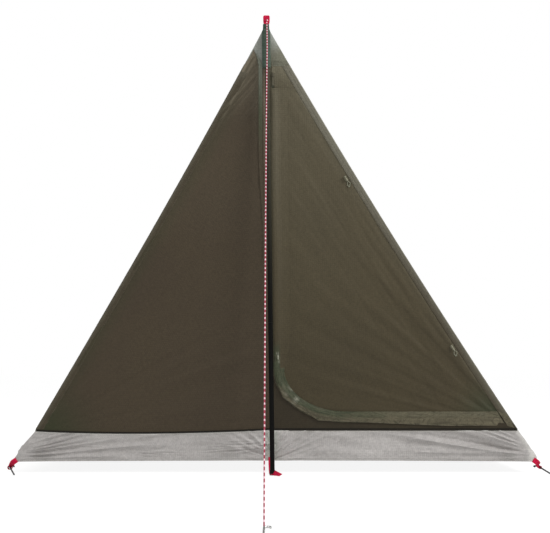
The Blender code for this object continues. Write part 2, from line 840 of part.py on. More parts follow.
def peg_drop():
    """Slope of a corner peg: its shaft runs from the eye down to its tip on the ground."""
    return math.asin((EYE_HEIGHT - PEG_RADIUS) / (PEG_LENGTH - PEG_SEAT))


def peg_turn(side, rear):
    """How far a peg is turned aside from the tent's length."""
    if rear:
        return 0.0
    return math.radians(PEG_TURN_LEFT if side < 0 else PEG_TURN_RIGHT)


def eye_radius(side, rear):
    """Room in a loop's eye for a peg that crosses it at an angle."""
    turn = peg_turn(side, rear)
    lean = LOOP_WIDTH / 2 * math.hypot(math.tan(turn), math.tan(peg_drop()))
    return (PEG_RADIUS / math.cos(turn) + lean + PEG_PLAY) / math.cos(math.pi / LOOP_TURNS)


def corner_loops():
    """A doubled strap from each corner, open at its end round the peg."""
    for name, side, rear, eye in corner_places():
        radius = eye_radius(side, rear) + LOOP_WEBBING / 2
        start = Vector((side * half_width(LOOP_START_HEIGHT), eye.y, LOOP_START_HEIGHT))
        run = (start - eye).normalized()
        beside = Vector((0, 1, 0)).cross(run)
        half_space = (LOOP_WEBBING + GAP) / 2
        neck = math.asin(half_space / radius)
        path = [start + beside * half_space]
        for i in range(LOOP_TURNS + 1):
            turn = neck + (2 * math.pi - 2 * neck) * i / LOOP_TURNS
            path.append(eye + run * radius * math.cos(turn) + beside * radius * math.sin(turn))
        path.append(start - beside * half_space)
        rings = strip_rings(path, (0, 1, 0), LOOP_WIDTH, LOOP_WEBBING)
        for end in (rings[0], rings[-1]):
            for point in end:
                meet_wall(point, run, side)
        add_piece("corner_loop_" + name, loft(rings), "red_webbing", eye)


def meet_wall(point, run, side):
    """Move a strap's end point along the strap until it is just clear of the band."""
    for _ in range(3):
        wall = side * (half_width(point.z) + GAP)
        point += run * ((wall - point.x) / run.x)


def peg_curve(name):
    """A wire peg along +X from its hook, which bends round in the XY plane."""
    points = [(PEG_LENGTH, 0, PEG_TIP_SHARE), (PEG_LENGTH - PEG_TIP_TAPER, 0, 1), (PEG_LENGTH / 2, 0, 1),
              (0, 0, 1)]
    for i in range(1, PEG_HOOK_STEPS + 1):
        turn = math.pi * i / PEG_HOOK_STEPS
        points.append((-PEG_HOOK_RADIUS * math.sin(turn), PEG_HOOK_RADIUS * (1 - math.cos(turn)), 1))
    points.append((PEG_HOOK_RETURN, 2 * PEG_HOOK_RADIUS, 1))
    return tube_curve(name, [(x, y, 0, size) for x, y, size in points], PEG_RADIUS, 2)


def tube_curve(name, points, radius, resolution):
    curve = bpy.data.curves.new(name, "CURVE")
    curve.dimensions = "3D"
    curve.bevel_depth = radius
    curve.bevel_resolution = resolution
    curve.use_fill_caps = True
    spline = curve.splines.new("POLY")
    spline.points.add(len(points) - 1)
    for place, (x, y, z, size) in zip(spline.points, points):
        place.co = (x, y, z, 1)
        place.radius = size
    return curve


def link_curve(name, curve, finish):
    piece = bpy.data.objects.new(name, curve)
    piece.data.materials.append(own_material(name, finish))
    bpy.context.collection.objects.link(piece)
    return piece


def corner_pegs():
    """Pegs laid through the eyes: the front ones point forward, the rear ones back."""
    for name, side, rear, eye in corner_places():
        heading = math.pi / 2 if rear else peg_turn(side, rear) - math.pi / 2
        flip = math.pi if (side > 0) != rear else 0
        turn = (Matrix.Rotation(heading, 4, "Z") @ Matrix.Rotation(peg_drop(), 4, "Y")
                @ Matrix.Rotation(flip, 4, "X"))
        peg = link_curve("peg_" + name, peg_curve("peg_" + name), "bare_steel")
        peg.matrix_world = Matrix.Translation(eye) @ turn @ Matrix.Translation((-PEG_SEAT, 0, 0))


def guy_peg():
    """The guy's peg lies ahead of the cord, with its hook just behind the cord's end."""
    end = Vector(CORD_ROUTE[-1])
    peg = link_curve("guy_peg", peg_curve("guy_peg"), "bare_steel")
    seat = Vector((end.x, end.y, PEG_RADIUS))
    peg.matrix_world = (Matrix.Translation(seat) @ Matrix.Rotation(math.radians(-90), 4, "Z")
                        @ Matrix.Translation((-GUY_SEAT, 0, 0)))


def smooth_route(route, steps):
    """Read evenly numbered points from a smooth curve through the route's own points."""
    points = [Vector(p) for p in route]
    made = []
    spans = len(points) - 1
    for step in range(steps + 1):
        place = min(step * spans / steps, spans - 1e-9)
        i = int(place)
        t = place - i
        p0 = points[max(i - 1, 0)]
        p1, p2 = points[i], points[i + 1]
        p3 = points[min(i + 2, spans)]
        made.append(0.5 * (2 * p1 + (p2 - p0) * t + (2 * p0 - 5 * p1 + 4 * p2 - p3) * t * t
                           + (3 * p1 - p0 - 3 * p2 + p3) * t ** 3))
    return made


def knot_centre():
    """The knot sits against the front leg of the apex loop."""
    loop_front = STEM_HALF_DEPTH + GAP + WEBBING
    return crown_centre() + Vector((KNOT_SHIFT, -loop_front - GAP - KNOT_RADIUS, KNOT_HEIGHT))


def guy_cord():
    centre = knot_centre()
    start = centre + (Vector(CORD_ROUTE[0]) - centre).normalized() * (KNOT_RADIUS + GAP)
    points = smooth_route([start] + CORD_ROUTE, CORD_STEPS)
    curve = tube_curve("guy_cord", [(p.x, p.y, p.z, 1) for p in points], CORD_RADIUS, 2)
    link_curve("guy_cord", curve, "guy_cord")


def guy_knot():
    """The knot that holds the cord in the apex loop."""
    centre = knot_centre()
    form = bmesh.new()
    bmesh.ops.create_uvsphere(form, u_segments=KNOT_SEGMENTS, v_segments=KNOT_RINGS, radius=KNOT_RADIUS)
    bmesh.ops.translate(form, verts=form.verts, vec=centre)
    return add_piece("guy_knot", form, "guy_cord", centre, smooth=True)


def block(width, length, low, high, along=0.0, sideways=0.0):
    """A box in slider coordinates: sideways, up the zip and outwards."""
    rings = []
    for level in (low, high):
        ring = []
        for sx, sy in ((-1, -1), (1, -1), (1, 1), (-1, 1)):
            ring.append(Vector((sideways + sx * width / 2, along + sy * length / 2, level)))
        rings.append(ring)
    return loft(rings)


def zip_frame(z):
    """A matrix from slider coordinates to the tent: X across the zip, Y up it and Z outwards."""
    low = Vector((zip_x(ZIP_BEND), front_y(ZIP_BEND), ZIP_BEND))
    high = Vector((zip_x(CROWN_BOTTOM), front_y(CROWN_BOTTOM), CROWN_BOTTOM))
    up = (high - low).normalized()
    across = up.cross(FRONT_OUT).normalized()
    turn = Matrix((across, up, FRONT_OUT)).transposed().to_4x4()
    return Matrix.Translation(Vector((zip_x(z), front_y(z), z))) @ turn


def slider_height():
    return CROWN_BOTTOM - SLIDER_PARK


def zip_pieces():
    """Tapes and rows of teeth. The fixed pair runs on above the door, where the slider parks."""
    top = CROWN_BOTTOM - GAP
    tape_profile = [(TAPE_START, -CLOTH), (TAPE_END, -CLOTH), (TAPE_END, 0), (TAPE_START, 0)]
    tooth_low = -CLOTH - TOOTH_LIFT
    tooth_high = TOOTH_LIFT
    shoulder = TOOTH_HEIGHT / 4
    tooth_profile = [(TOOTH_SPACE / 2, tooth_low + shoulder), (TOOTH_SPACE / 2 + shoulder, tooth_low),
                     (TOOTH_OUTER, tooth_low), (TOOTH_OUTER, tooth_high),
                     (TOOTH_SPACE / 2 + shoulder, tooth_high), (TOOTH_SPACE / 2, tooth_high - shoulder)]

    def mirrored(profile):
        return [(-s, n) for s, n in profile]

    made = {}
    for name, line_top, profile, finish in (
        ("zip_tape_fixed", top, mirrored(tape_profile), "zip_tape"),
        ("zip_tape_door", DOOR_TOP, tape_profile, "zip_tape"),
        ("zip_teeth_fixed", top - TEETH_INSET, mirrored(tooth_profile), "zip_tape"),
        ("zip_teeth_door", DOOR_TOP - GAP, tooth_profile, "zip_tape"),
    ):
        form = sweep_on_front(zip_line(line_top), lambda share, same=profile: same)
        made[name] = add_piece(name, form, finish, hinge_point() if "door" in name else (0, 0, 0))
    return made


def zip_slider():
    """Two plates joined by a web between the teeth, with an arch for the pull on top."""
    plate_low = PLATE_UNDER
    plate_high = plate_low + SLIDER_PLATE
    under_high = -CLOTH - TOOTH_LIFT - GAP
    under_low = under_high - SLIDER_PLATE
    web_half = SLIDER_WEB / 2
    wide = SLIDER_WIDTH / 2
    outline = [(-wide, under_low), (wide, under_low), (wide, under_high), (web_half, under_high),
               (web_half, plate_low), (wide, plate_low), (wide, plate_high), (-wide, plate_high),
               (-wide, plate_low), (-web_half, plate_low), (-web_half, under_high), (-wide, under_high)]
    rings = []
    for along in (-SLIDER_LENGTH / 2, SLIDER_LENGTH / 2):
        rings.append([Vector((s, along, n)) for s, n in outline])
    frame = zip_frame(slider_height())
    place = frame.to_translation()

    def in_tent(form):
        bmesh.ops.transform(form, matrix=frame, verts=form.verts)
        return form

    body = add_piece("zip_slider", in_tent(loft(rings)), "zip_metal", place)
    arch_low = plate_high - SLIDER_PLATE / 2
    arch_in = plate_high + ARCH_INSIDE
    arch_out = arch_in + ARCH_WALL
    outer = ARCH_LENGTH / 2
    inner = outer - ARCH_WALL
    arch_outline = [(-outer, arch_low), (-outer, arch_out - ARCH_WALL / 2), (-outer + ARCH_WALL / 2, arch_out),
                    (outer - ARCH_WALL / 2, arch_out), (outer, arch_out - ARCH_WALL / 2), (outer, arch_low),
                    (inner, arch_low), (inner, arch_in), (-inner, arch_in), (-inner, arch_low)]
    rings = []
    for s in (-ARCH_WIDTH / 2, ARCH_WIDTH / 2):
        rings.append([Vector((s, along, n)) for along, n in arch_outline])
    arch = add_piece("zip_slider_arch", in_tent(loft(rings)), "zip_metal", place)
    arch.hide_render = True
    arch.display_type = "WIRE"
    join = body.modifiers.new("arch", "BOOLEAN")
    join.operation = "UNION"
    join.solver = "EXACT"
    join.object = arch
    return body


def pull_axis_height():
    return PLATE_UNDER + SLIDER_PLATE + ARCH_INSIDE / 2


def zip_pull():
    """A flat tab with a window at its top, whose cross bar turns in the slider's arch."""
    frame = zip_frame(slider_height())
    half = PULL_THICKNESS / 2
    top = half
    bottom = top - PULL_LENGTH
    window_top = -half
    window_bottom = window_top - WINDOW_LENGTH
    wide = PULL_WIDTH / 2
    open_half = WINDOW_WIDTH / 2
    taper = PULL_WIDTH * PULL_TAPER
    outer = [(-wide, top), (wide, top), (wide, window_bottom), (wide - taper, bottom + taper),
             (wide - 2 * taper, bottom), (-wide + 2 * taper, bottom), (-wide + taper, bottom + taper),
             (-wide, window_bottom)]
    inner = [(-open_half, window_top), (open_half, window_top), (open_half, window_bottom),
             (open_half, window_bottom - GAP), (open_half / 2, window_bottom - GAP * 2),
             (-open_half / 2, window_bottom - GAP * 2), (-open_half, window_bottom - GAP),
             (-open_half, window_bottom)]

    def ring(outline, level):
        return [Vector((s, along, level)) for s, along in outline]

    rings = [ring(outer, -half), ring(outer, half), ring(inner, half), ring(inner, -half)]
    form = loft(rings, ring_closed=True)
    shift = Matrix.Translation((0, PULL_SEAT, pull_axis_height()))
    bmesh.ops.transform(form, matrix=frame @ shift, verts=form.verts)
    return add_piece("zip_pull", form, "zip_metal", (frame @ shift).to_translation())


def hinge_point():
    return Vector((door_edge_x(DOOR_TOP), front_y(DOOR_TOP), DOOR_TOP))


def door_panel():
    """The cloth leaf, between the zip and the binding of the right ridge."""
    line = offset_line(DOOR_TOP, PANEL_OFFSET)
    low = line[-1][1]
    heights = [z for z in wall_heights() if ZIP_BEND < z < DOOR_TOP - GAP]
    bend = [(x, z) for x, z in line[1:-1]]
    rings = [front_row(max(z, low), x, door_edge_x(max(z, low))) for x, z in reversed(bend)]
    for z in heights + [DOOR_TOP]:
        rings.append(front_row(z, zip_x(z) + PANEL_OFFSET, door_edge_x(z)))
    return add_piece("door_panel", loft(rings), "dark_cloth", hinge_point())


def storm_flap():
    """An arched strip sewn to the door, roomy enough for the slider to pass under it."""
    def profile(share):
        inner = FLAP_IN_UPRIGHT + (FLAP_IN_SILL - FLAP_IN_UPRIGHT) * share
        outer = FLAP_OUT_UPRIGHT + (FLAP_OUT_SILL - FLAP_OUT_UPRIGHT) * share
        half_crest = FLAP_CREST / 2
        under = [(inner, GAP), (inner - FLAP_FLAT, GAP), (half_crest, FLAP_INSIDE), (-half_crest, FLAP_INSIDE),
                 (-outer, FLAP_LIP)]
        return under + [(s, n + CLOTH) for s, n in reversed(under)]

    line = zip_line(DOOR_TOP - GAP)
    end_x = door_edge_x(ZIP_SILL + FLAP_IN_SILL) - FLAP_END_MARGIN
    last_point, last_normal = line[-1]
    line[-1] = (Vector((end_x, last_point.y)), last_normal)
    return add_piece("storm_flap", sweep_on_front(line, profile), "dark_cloth", hinge_point())


def toggle_frame(z):
    """X across the ridge, Y up along it and Z outwards, at a toggle's place on the door."""
    above = z + RIDGE_STEP
    high = Vector((door_edge_x(above), front_y(above), above))
    low = Vector((door_edge_x(z), front_y(z), z))
    up = (high - low).normalized()
    across = up.cross(FRONT_OUT).normalized()
    turn = Matrix((across, up, FRONT_OUT)).transposed().to_4x4()
    return Matrix.Translation(Vector((low.x - TOGGLE_FROM_EDGE, low.y, low.z))) @ turn


def toggles():
    """Tie-backs at the hinge side: a sewn tab, a barrel that turns on it and an elastic loop."""
    made = []
    for name, z in TOGGLE_HEIGHTS.items():
        frame = toggle_frame(z)
        place = frame.to_translation()
        tab_top = GAP + CLOTH
        tab = block(TAB_WIDTH, TAB_LENGTH, GAP, tab_top)
        bmesh.ops.transform(tab, matrix=frame, verts=tab.verts)
        made.append(add_piece("toggle_tab_" + name, tab, "light_cloth", place))

        level = tab_top + GAP + TOGGLE_RADIUS
        centre = frame @ Vector((0, 0, level))
        half = TOGGLE_LENGTH / 2
        end, waist = TOGGLE_RADIUS * TOGGLE_END, TOGGLE_RADIUS * TOGGLE_WAIST
        rounding, reach = half * TOGGLE_ROUNDING, half * TOGGLE_WAIST_REACH
        profile = [(end, -half), (TOGGLE_RADIUS, -rounding), (TOGGLE_RADIUS, -reach), (waist, 0),
                   (TOGGLE_RADIUS, reach), (TOGGLE_RADIUS, rounding), (end, half)]
        axis = frame.to_3x3() @ Vector((0, 1, 0))
        bar = turned(profile, centre, axis, sides=TOGGLE_SIDES)
        bar_piece = add_piece("toggle_bar_" + name, bar, "toggle_plastic", centre, smooth=True)
        made.append(bar_piece)

        loop_centre = Vector((0, -TAB_LENGTH / 2 - GAP - TOGGLE_LOOP_RADIUS - 2 * TOGGLE_LOOP_CORD, GAP))
        rings = []
        for i in range(TOGGLE_LOOP_STEPS):
            turn = 2 * math.pi * i / TOGGLE_LOOP_STEPS
            outward = Vector((math.cos(turn), math.sin(turn), 0))
            ring = []
            for j in range(TOGGLE_LOOP_SIDES):
                swing = 2 * math.pi * j / TOGGLE_LOOP_SIDES
                away = TOGGLE_LOOP_RADIUS + TOGGLE_LOOP_CORD * math.cos(swing)
                lift = TOGGLE_LOOP_CORD * (1 + math.sin(swing))
                ring.append(loop_centre + outward * away + Vector((0, 0, lift)))
            rings.append(ring)
        loop = loft(rings, ring_closed=True)
        bmesh.ops.transform(loop, matrix=frame, verts=loop.verts)
        made.append(add_piece("toggle_loop_" + name, loop, "light_cloth", place, smooth=True))
    return made


def build():
    clear_scene()
    groundsheet()
    bands()
    side_panels()
    rear_panel()
    ridge_bindings()
    front_left_panel()
    door_sill()
    door_head()
    crown_patch()
    crown_webbing()
    apex_loop()
    pole_sleeve()
    pole()
    foot_strap()
    foot_eyelet()
    corner_loops()
    corner_pegs()
    guy_peg()
    guy_cord()
    guy_knot()
    zip_parts = zip_pieces()
    slider = zip_slider()
    pull = zip_pull()
    hang_on(empty_at("zip_runner", zip_frame(slider_height()).to_translation()), [slider])
    hang_on(empty_at("pull_hinge", pull.location), [pull])
    door = [door_panel(), storm_flap(), zip_parts["zip_tape_door"], zip_parts["zip_teeth_door"]]
    hang_on(empty_at("door_hinge", hinge_point()), door + toggles())


build()
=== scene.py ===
import json
import math

import bmesh
import bpy
from mathutils import Matrix, Vector, noise

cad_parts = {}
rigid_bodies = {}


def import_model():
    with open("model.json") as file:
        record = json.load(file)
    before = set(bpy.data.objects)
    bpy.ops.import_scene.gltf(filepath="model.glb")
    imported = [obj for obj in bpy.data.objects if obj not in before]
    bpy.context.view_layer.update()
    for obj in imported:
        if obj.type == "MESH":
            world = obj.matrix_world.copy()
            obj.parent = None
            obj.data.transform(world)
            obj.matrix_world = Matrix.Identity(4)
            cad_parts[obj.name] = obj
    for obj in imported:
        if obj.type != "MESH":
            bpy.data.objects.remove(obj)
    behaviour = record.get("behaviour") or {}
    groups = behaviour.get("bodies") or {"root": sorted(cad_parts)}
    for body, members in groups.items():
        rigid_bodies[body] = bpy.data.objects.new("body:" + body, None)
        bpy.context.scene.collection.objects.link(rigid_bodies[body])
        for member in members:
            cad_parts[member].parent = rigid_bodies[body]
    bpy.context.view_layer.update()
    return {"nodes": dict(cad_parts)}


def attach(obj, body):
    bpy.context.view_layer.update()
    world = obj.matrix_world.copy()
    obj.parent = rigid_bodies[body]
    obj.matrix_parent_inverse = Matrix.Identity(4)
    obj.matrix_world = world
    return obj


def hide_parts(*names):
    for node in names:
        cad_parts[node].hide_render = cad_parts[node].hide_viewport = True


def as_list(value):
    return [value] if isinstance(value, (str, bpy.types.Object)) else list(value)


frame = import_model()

# Canopy outline, in metres
FRONT_Y = -1.225
REAR_Y = 1.225
FLOOR_WIDTH = 1.447
HEM_TUCK = 0.002
HEM_HEIGHT = 0.030
PULL_HEIGHT = 0.060
BAND_TOP = 0.120
CROWN_BOTTOM = 1.147
CROWN_HEIGHT = 1.238
CROWN_WIDTH = 0.022
CROWN_DEPTH = 0.030
CROWN_SHIFT = -0.0254
FRONT_LEAN = 0.090
RIDGE_BOW = 0.014
LEFT_DRAW = 0.012
REAR_BOW = 0.030
FRONT_SLOPE = FRONT_LEAN / (CROWN_HEIGHT - HEM_HEIGHT)
FRONT_OUT = Vector((0, -1, -FRONT_SLOPE)).normalized()
REAR_OUT = Vector((0, 1, 2.13)).normalized()
SIDE_LEAN = 0.605
SIDE_RUN = 1.169
REAR_RUN = 2.353
BINDING = 0.019
GAP = 0.0003

# Zip line, door and pole
POLE_FOOT_X = -0.0070
POLE_TOP_X = -0.0232
POLE_TOP = 1.2365
POLE_AHEAD = 0.0088
ZIP_BESIDE_POLE = 0.016
DOOR_TOP = 1.080
ZIP_SILL = 0.150
ZIP_BEND = 0.290
BEND_REACH = 0.1935
BEND_RISE = 0.140
FLAP_OUT = (0.008, 0.013)
FLAP_IN = 0.021
PANEL_OFFSET = 0.0134

# Cloth and seams
CANOPY_CLOTH = 0.0007
BAND_CLOTH = 0.0008
CROWN_CLOTH = 0.0009
FLOOR_CLOTH = 0.0012
THREAD_STEP = 0.0009
WALL_LOW = BAND_TOP - 0.003
SEAM_LOW = BAND_TOP + 0.003
SEAM_HIGH = CROWN_BOTTOM - 0.003


def rise(z):
    return (z - PULL_HEIGHT) / (CROWN_HEIGHT - PULL_HEIGHT)


def centre_x(z):
    return CROWN_SHIFT * max(rise(z), 0)


def half_width(z):
    t = rise(z)
    if t < 0:
        return FLOOR_WIDTH / 2 - HEM_TUCK * (PULL_HEIGHT - z) / (PULL_HEIGHT - HEM_HEIGHT)
    return FLOOR_WIDTH / 2 + (CROWN_WIDTH - FLOOR_WIDTH) / 2 * t - 4 * RIDGE_BOW * t * (1 - t)


def left_draw(z):
    """How far the left ridge is drawn in: most over the band, nothing at the hem's corner."""
    if z >= BAND_TOP:
        return LEFT_DRAW * ((CROWN_HEIGHT - z) / (CROWN_HEIGHT - BAND_TOP)) ** 3
    return LEFT_DRAW * max(z - PULL_HEIGHT, 0) / (BAND_TOP - PULL_HEIGHT)


def left_x(z):
    return centre_x(z) - half_width(z) + left_draw(z)


def right_x(z):
    return centre_x(z) + half_width(z)


def ridge_x(side, z):
    return right_x(z) if side > 0 else left_x(z)


def side_out(side):
    """The way a side wall faces."""
    return Vector((side, 0, SIDE_LEAN)).normalized()


def front_y(z):
    return FRONT_Y - FRONT_SLOPE * (z - HEM_HEIGHT)


def rear_y(z):
    t = rise(z)
    if t < 0:
        return REAR_Y - HEM_TUCK * (PULL_HEIGHT - z) / (PULL_HEIGHT - HEM_HEIGHT)
    crown_rear = front_y(CROWN_HEIGHT) + CROWN_DEPTH
    return REAR_Y + (crown_rear - REAR_Y) * t - 4 * REAR_BOW * t * (1 - t)


def door_edge_x(z):
    return right_x(z) - BINDING * SIDE_RUN - GAP


def pole_x(z):
    return POLE_FOOT_X + (POLE_TOP_X - POLE_FOOT_X) * z / POLE_TOP


def pole_y():
    return front_y(CROWN_HEIGHT) - POLE_AHEAD


def zip_x(z):
    return pole_x(max(z, ZIP_BEND)) + ZIP_BESIDE_POLE


def smooth(t):
    t = min(max(t, 0.0), 1.0)
    return t * t * (3 - 2 * t)


def mix(a, b, t):
    return a + (b - a) * t


# Materials

def shader_of(name):
    made = bpy.data.materials.new(name)
    made.use_nodes = True
    return made, made.node_tree, made.node_tree.nodes["Principled BSDF"]


def fill(tree, made, values):
    """Set a node's inputs, and wire each whose value is another node's output."""
    for key, value in dict(values).items():
        if isinstance(value, bpy.types.NodeSocket):
            tree.links.new(value, made.inputs[key])
        else:
            made.inputs[key].default_value = value
    return made


def node(tree, kind, values=(), **settings):
    made = tree.nodes.new("ShaderNode" + kind)
    for key, value in settings.items():
        setattr(made, key, value)
    return fill(tree, made, values)


def object_place(tree):
    return node(tree, "TexCoord").outputs["Object"]


def thread_place(tree):
    return node(tree, "UVMap", uv_map="cloth").outputs["UV"]


def kept_share(tree, kept):
    return node(tree, "Attribute", attribute_name=kept).outputs["Fac"]


def mottled(tree, vector, scale, detail, roughness=0.6):
    values = {"Vector": vector, "Scale": scale, "Detail": detail, "Roughness": roughness}
    return node(tree, "TexNoise", values).outputs["Fac"]


def striped(tree, vector, scale, direction):
    values = {"Vector": vector, "Scale": scale, "Distortion": 0.0}
    return node(tree, "TexWave", values, bands_direction=direction).outputs["Fac"]


def ranged(tree, value, low, high, to_low=0.0, to_high=1.0, curve="LINEAR"):
    values = {"Value": value, "From Min": low, "From Max": high, "To Min": to_low, "To Max": to_high}
    return node(tree, "MapRange", values, interpolation_type=curve).outputs["Result"]


def worked(tree, operation, *values):
    return node(tree, "Math", enumerate(values), operation=operation).outputs[0]


def blended(tree, share, first, second, blend="MIX"):
    values = {0: share, 6: first, 7: second}
    return node(tree, "Mix", values, data_type="RGBA", blend_type=blend).outputs[2]


def raised(tree, height, strength, distance):
    values = {"Height": height, "Strength": strength, "Distance": distance}
    return node(tree, "Bump", values).outputs["Normal"]


def srgb(r, g, b):
    def linear(v):
        v /= 255
        return v / 12.92 if v <= 0.04045 else ((v + 0.055) / 1.055) ** 2.4
    return (linear(r), linear(g), linear(b), 1)


def woven_cloth(name, colour, other, roughness, turns=(), bump=0.3, sheen=0.01, blotch=3.0, crease=None):
    """Coated cloth: a fine plain weave, slow changes of colour and small rumples in the surface.

    turns gives pairs of a value kept on the mesh and the colour that the cloth turns to by it: the cloth's
    own tones, and painted light and shade.
    crease gives the width, the length and the strength of long creases along the cloth. Where the mesh keeps
    low, the creases are painted darker in their hollows and paler on their crests, as painted shade and
    highlight."""
    made, tree, shader = shader_of(name)
    place, threads = object_place(tree), thread_place(tree)
    dye_and_painted_light = blended(tree, ranged(tree, mottled(tree, place, blotch, 4.0), 0.32, 0.68), colour, other)
    for kept, turned_colour in turns:
        # Some turns are the cloth's own colour and some are painted light and shade.
        dye_and_painted_light = blended(tree, kept_share(tree, kept), dye_and_painted_light, turned_colour)
    thread_scale = 1 / THREAD_STEP / 20
    weave = worked(tree, "MULTIPLY", striped(tree, threads, thread_scale, "X"),
                   striped(tree, threads, thread_scale, "Y"))
    woven = blended(tree, 0.12, dye_and_painted_light, weave, "MULTIPLY")
    grain = ranged(tree, mottled(tree, place, 190.0, 2.0, 0.5), 0.0, 1.0, 0.74, 1.26)
    rumple = mottled(tree, place, 42.0, 4.0)
    height = worked(tree, "MULTIPLY_ADD", weave, 0.2, rumple)
    if crease:
        deepest = deepest_crease(tree, threads, *crease[:2])
        strength = crease[2]
        height = worked(tree, "MULTIPLY_ADD", deepest, strength, height)
        # Painted shade and highlight: darker in the creases' hollows and paler on their crests.
        wear_and_crease_shade = ranged(tree, deepest, 0.30, 0.48, 1 - 0.8 * strength, 1 + 0.8 * strength)
        there = node(tree, "Mix", {0: kept_share(tree, "low"), 2: 1.0, 3: wear_and_crease_shade}, data_type="FLOAT")
        # From here grain also carries the painted crease shade and highlight.
        grain = worked(tree, "MULTIPLY", there.outputs[0], grain)
    speck = node(tree, "VectorMath", {0: woven, "Scale": grain}, operation="SCALE")
    fill(tree, shader, {
        "Base Color": speck.outputs["Vector"],
        "Roughness": ranged(tree, rumple, 0.0, 1.0, roughness - 0.08, roughness + 0.08),
        "Normal": raised(tree, height, bump, 0.0020),
        "Sheen Weight": sheen,
        "Sheen Roughness": 0.45,
        "Specular IOR Level": 0.15,
    })
    return made


def deepest_crease(tree, threads, width, length):
    """Three sets of long creases at different slants, each place taking the deepest of them."""
    deepest = None
    for slant, long in ((0.0, length), (0.55, length * 0.35), (-0.65, length * 0.30)):
        values = {"Vector": threads, "Rotation": (0, 0, slant), "Scale": (width, long, 1)}
        drawn = node(tree, "Mapping", values, vector_type="TEXTURE")
        folds = mottled(tree, drawn.outputs["Vector"], 1.0, 1.0, 0.5)
        deepest = folds if deepest is None else worked(tree, "MINIMUM", deepest, folds)
    return deepest


def webbing_finish(name, colour, dark):
    """Narrow woven webbing: herringbone ribs along the strap, with painted shade darkening the hollows
    between them.
    """
    made, tree, shader = shader_of(name)
    threads = thread_place(tree)
    ribs, rows = striped(tree, threads, 32.0, "DIAGONAL"), striped(tree, threads, 45.0, "Y")
    both = worked(tree, "MULTIPLY", ribs, rows)
    fill(tree, shader, {
        "Base Color": blended(tree, ranged(tree, both, 0.0, 1.0, 0.45), dark, colour),
        "Normal": raised(tree, both, 0.5, 0.0006),
        "Roughness": 0.72,
        "Specular IOR Level": 0.15,
        "Sheen Weight": 0.05,
    })
    return made


def hard_finish(name, colour, wear_and_crease_shade, roughness, metallic, specular=0.5, high=None):
    """Painted steel, moulded plastic or bare metal, with small scuffs and an uneven gloss.

    high is the colour that a tall part fades to near its top: a painted highlight where the light falls on
    the upper part."""
    made, tree, shader = shader_of(name)
    place = object_place(tree)
    grain = mottled(tree, place, 180.0, 5.0)
    coat_and_top_highlight = blended(tree, ranged(tree, grain, 0.55, 0.80), colour, wear_and_crease_shade)
    if high:
        height = node(tree, "SeparateXYZ", {0: place}).outputs["Z"]
        coat_and_top_highlight = blended(tree, ranged(tree, height, 0.40, 1.20, curve="SMOOTHSTEP"), coat_and_top_highlight, high)
    fill(tree, shader, {
        "Base Color": coat_and_top_highlight,
        "Roughness": ranged(tree, grain, 0.0, 1.0, max(roughness - 0.10, 0.05), roughness + 0.12),
        "Normal": raised(tree, grain, 0.08, 0.0003),
        "Metallic": metallic,
        "Specular IOR Level": specular,
    })
    return made


def braid_finish(name, pale, fleck, pitch):
    """Braided cord: slanting flecks of the second colour, and the braid's small lozenges."""
    made, tree, shader = shader_of(name)
    threads = thread_place(tree)
    split = node(tree, "SeparateXYZ", {0: threads})
    along = worked(tree, "MULTIPLY", split.outputs["Y"], 2 * math.pi / pitch)
    twist = worked(tree, "MULTIPLY_ADD", split.outputs["X"], 2 * math.pi, along)
    share = ranged(tree, worked(tree, "SINE", twist), -0.60, -0.10, curve="SMOOTHSTEP")
    spread = node(tree, "Mapping", {"Vector": threads, "Scale": (12.0, 900.0, 1.0)})
    strands = striped(tree, spread.outputs["Vector"], 0.3, "DIAGONAL")
    fill(tree, shader, {
        "Base Color": blended(tree, share, pale, fleck),
        "Normal": raised(tree, strands, 0.4, 0.0004),
        "Roughness": 0.7,
        "Sheen Weight": 0.2,
    })
    return made


# Canopy: the greener turn is the cloth's own tone; the paler turn is painted light on the ridge, the fold
# crests and the upper cloth.
canopy_finish = woven_cloth("canopy_taffeta", srgb(70, 61, 47), srgb(66, 57, 45), 0.55,
                            (("tone_and_light", srgb(52, 56, 37)), ("painted_light", srgb(118, 110, 94))))
# Door: the paler turn is painted light; the greener turn is the cloth's own.
door_finish = woven_cloth("door_taffeta", srgb(72, 64, 46), srgb(67, 60, 44), 0.52,
                          (("tone_and_light", srgb(116, 111, 93)), ("green", srgb(58, 60, 43))))
# Ridge tape: the paler turn is a painted highlight along the front ridges.
seam_finish = woven_cloth("seam_tape", srgb(73, 66, 52), srgb(67, 60, 47), 0.6,
                          (("tone_and_light", srgb(126, 123, 109)),), blotch=30.0, bump=0.6)
# Storm flap: the paler turns are painted light on the leaf's top, on the folded edge and on the puckers; the
# strip's paler cloth and the green are its own.
flap_finish = woven_cloth("flap_taffeta", srgb(72, 64, 46), srgb(67, 60, 44), 0.55,
                          (("tone_and_light", srgb(116, 111, 93)), ("low", srgb(104, 99, 82)),
                           ("green", srgb(62, 66, 49)), ("painted_light", srgb(190, 188, 172))),
                          crease=(0.0056, 0.070, 0.55))
# Sill: painted shade, darker than the canopy under the storm flap.
sill_shade_finish = woven_cloth("sill_taffeta_painted_shade", srgb(58, 51, 38), srgb(52, 46, 35), 0.6)
# Crown: the darker turn is painted shade.
crown_finish = woven_cloth("crown_taffeta", srgb(168, 170, 163), srgb(151, 154, 145), 0.6,
                           (("tone_and_light", srgb(118, 117, 102)),), bump=0.6)
# Edge strip: the paler turn is painted light shining through it near the top; the darker turn makes it darker
# lower down.
strip_finish = woven_cloth("edge_strip_cloth", srgb(84, 88, 70), srgb(74, 78, 60), 0.6,
                           (("tone_and_light", srgb(126, 130, 116)), ("low", srgb(74, 66, 53))))
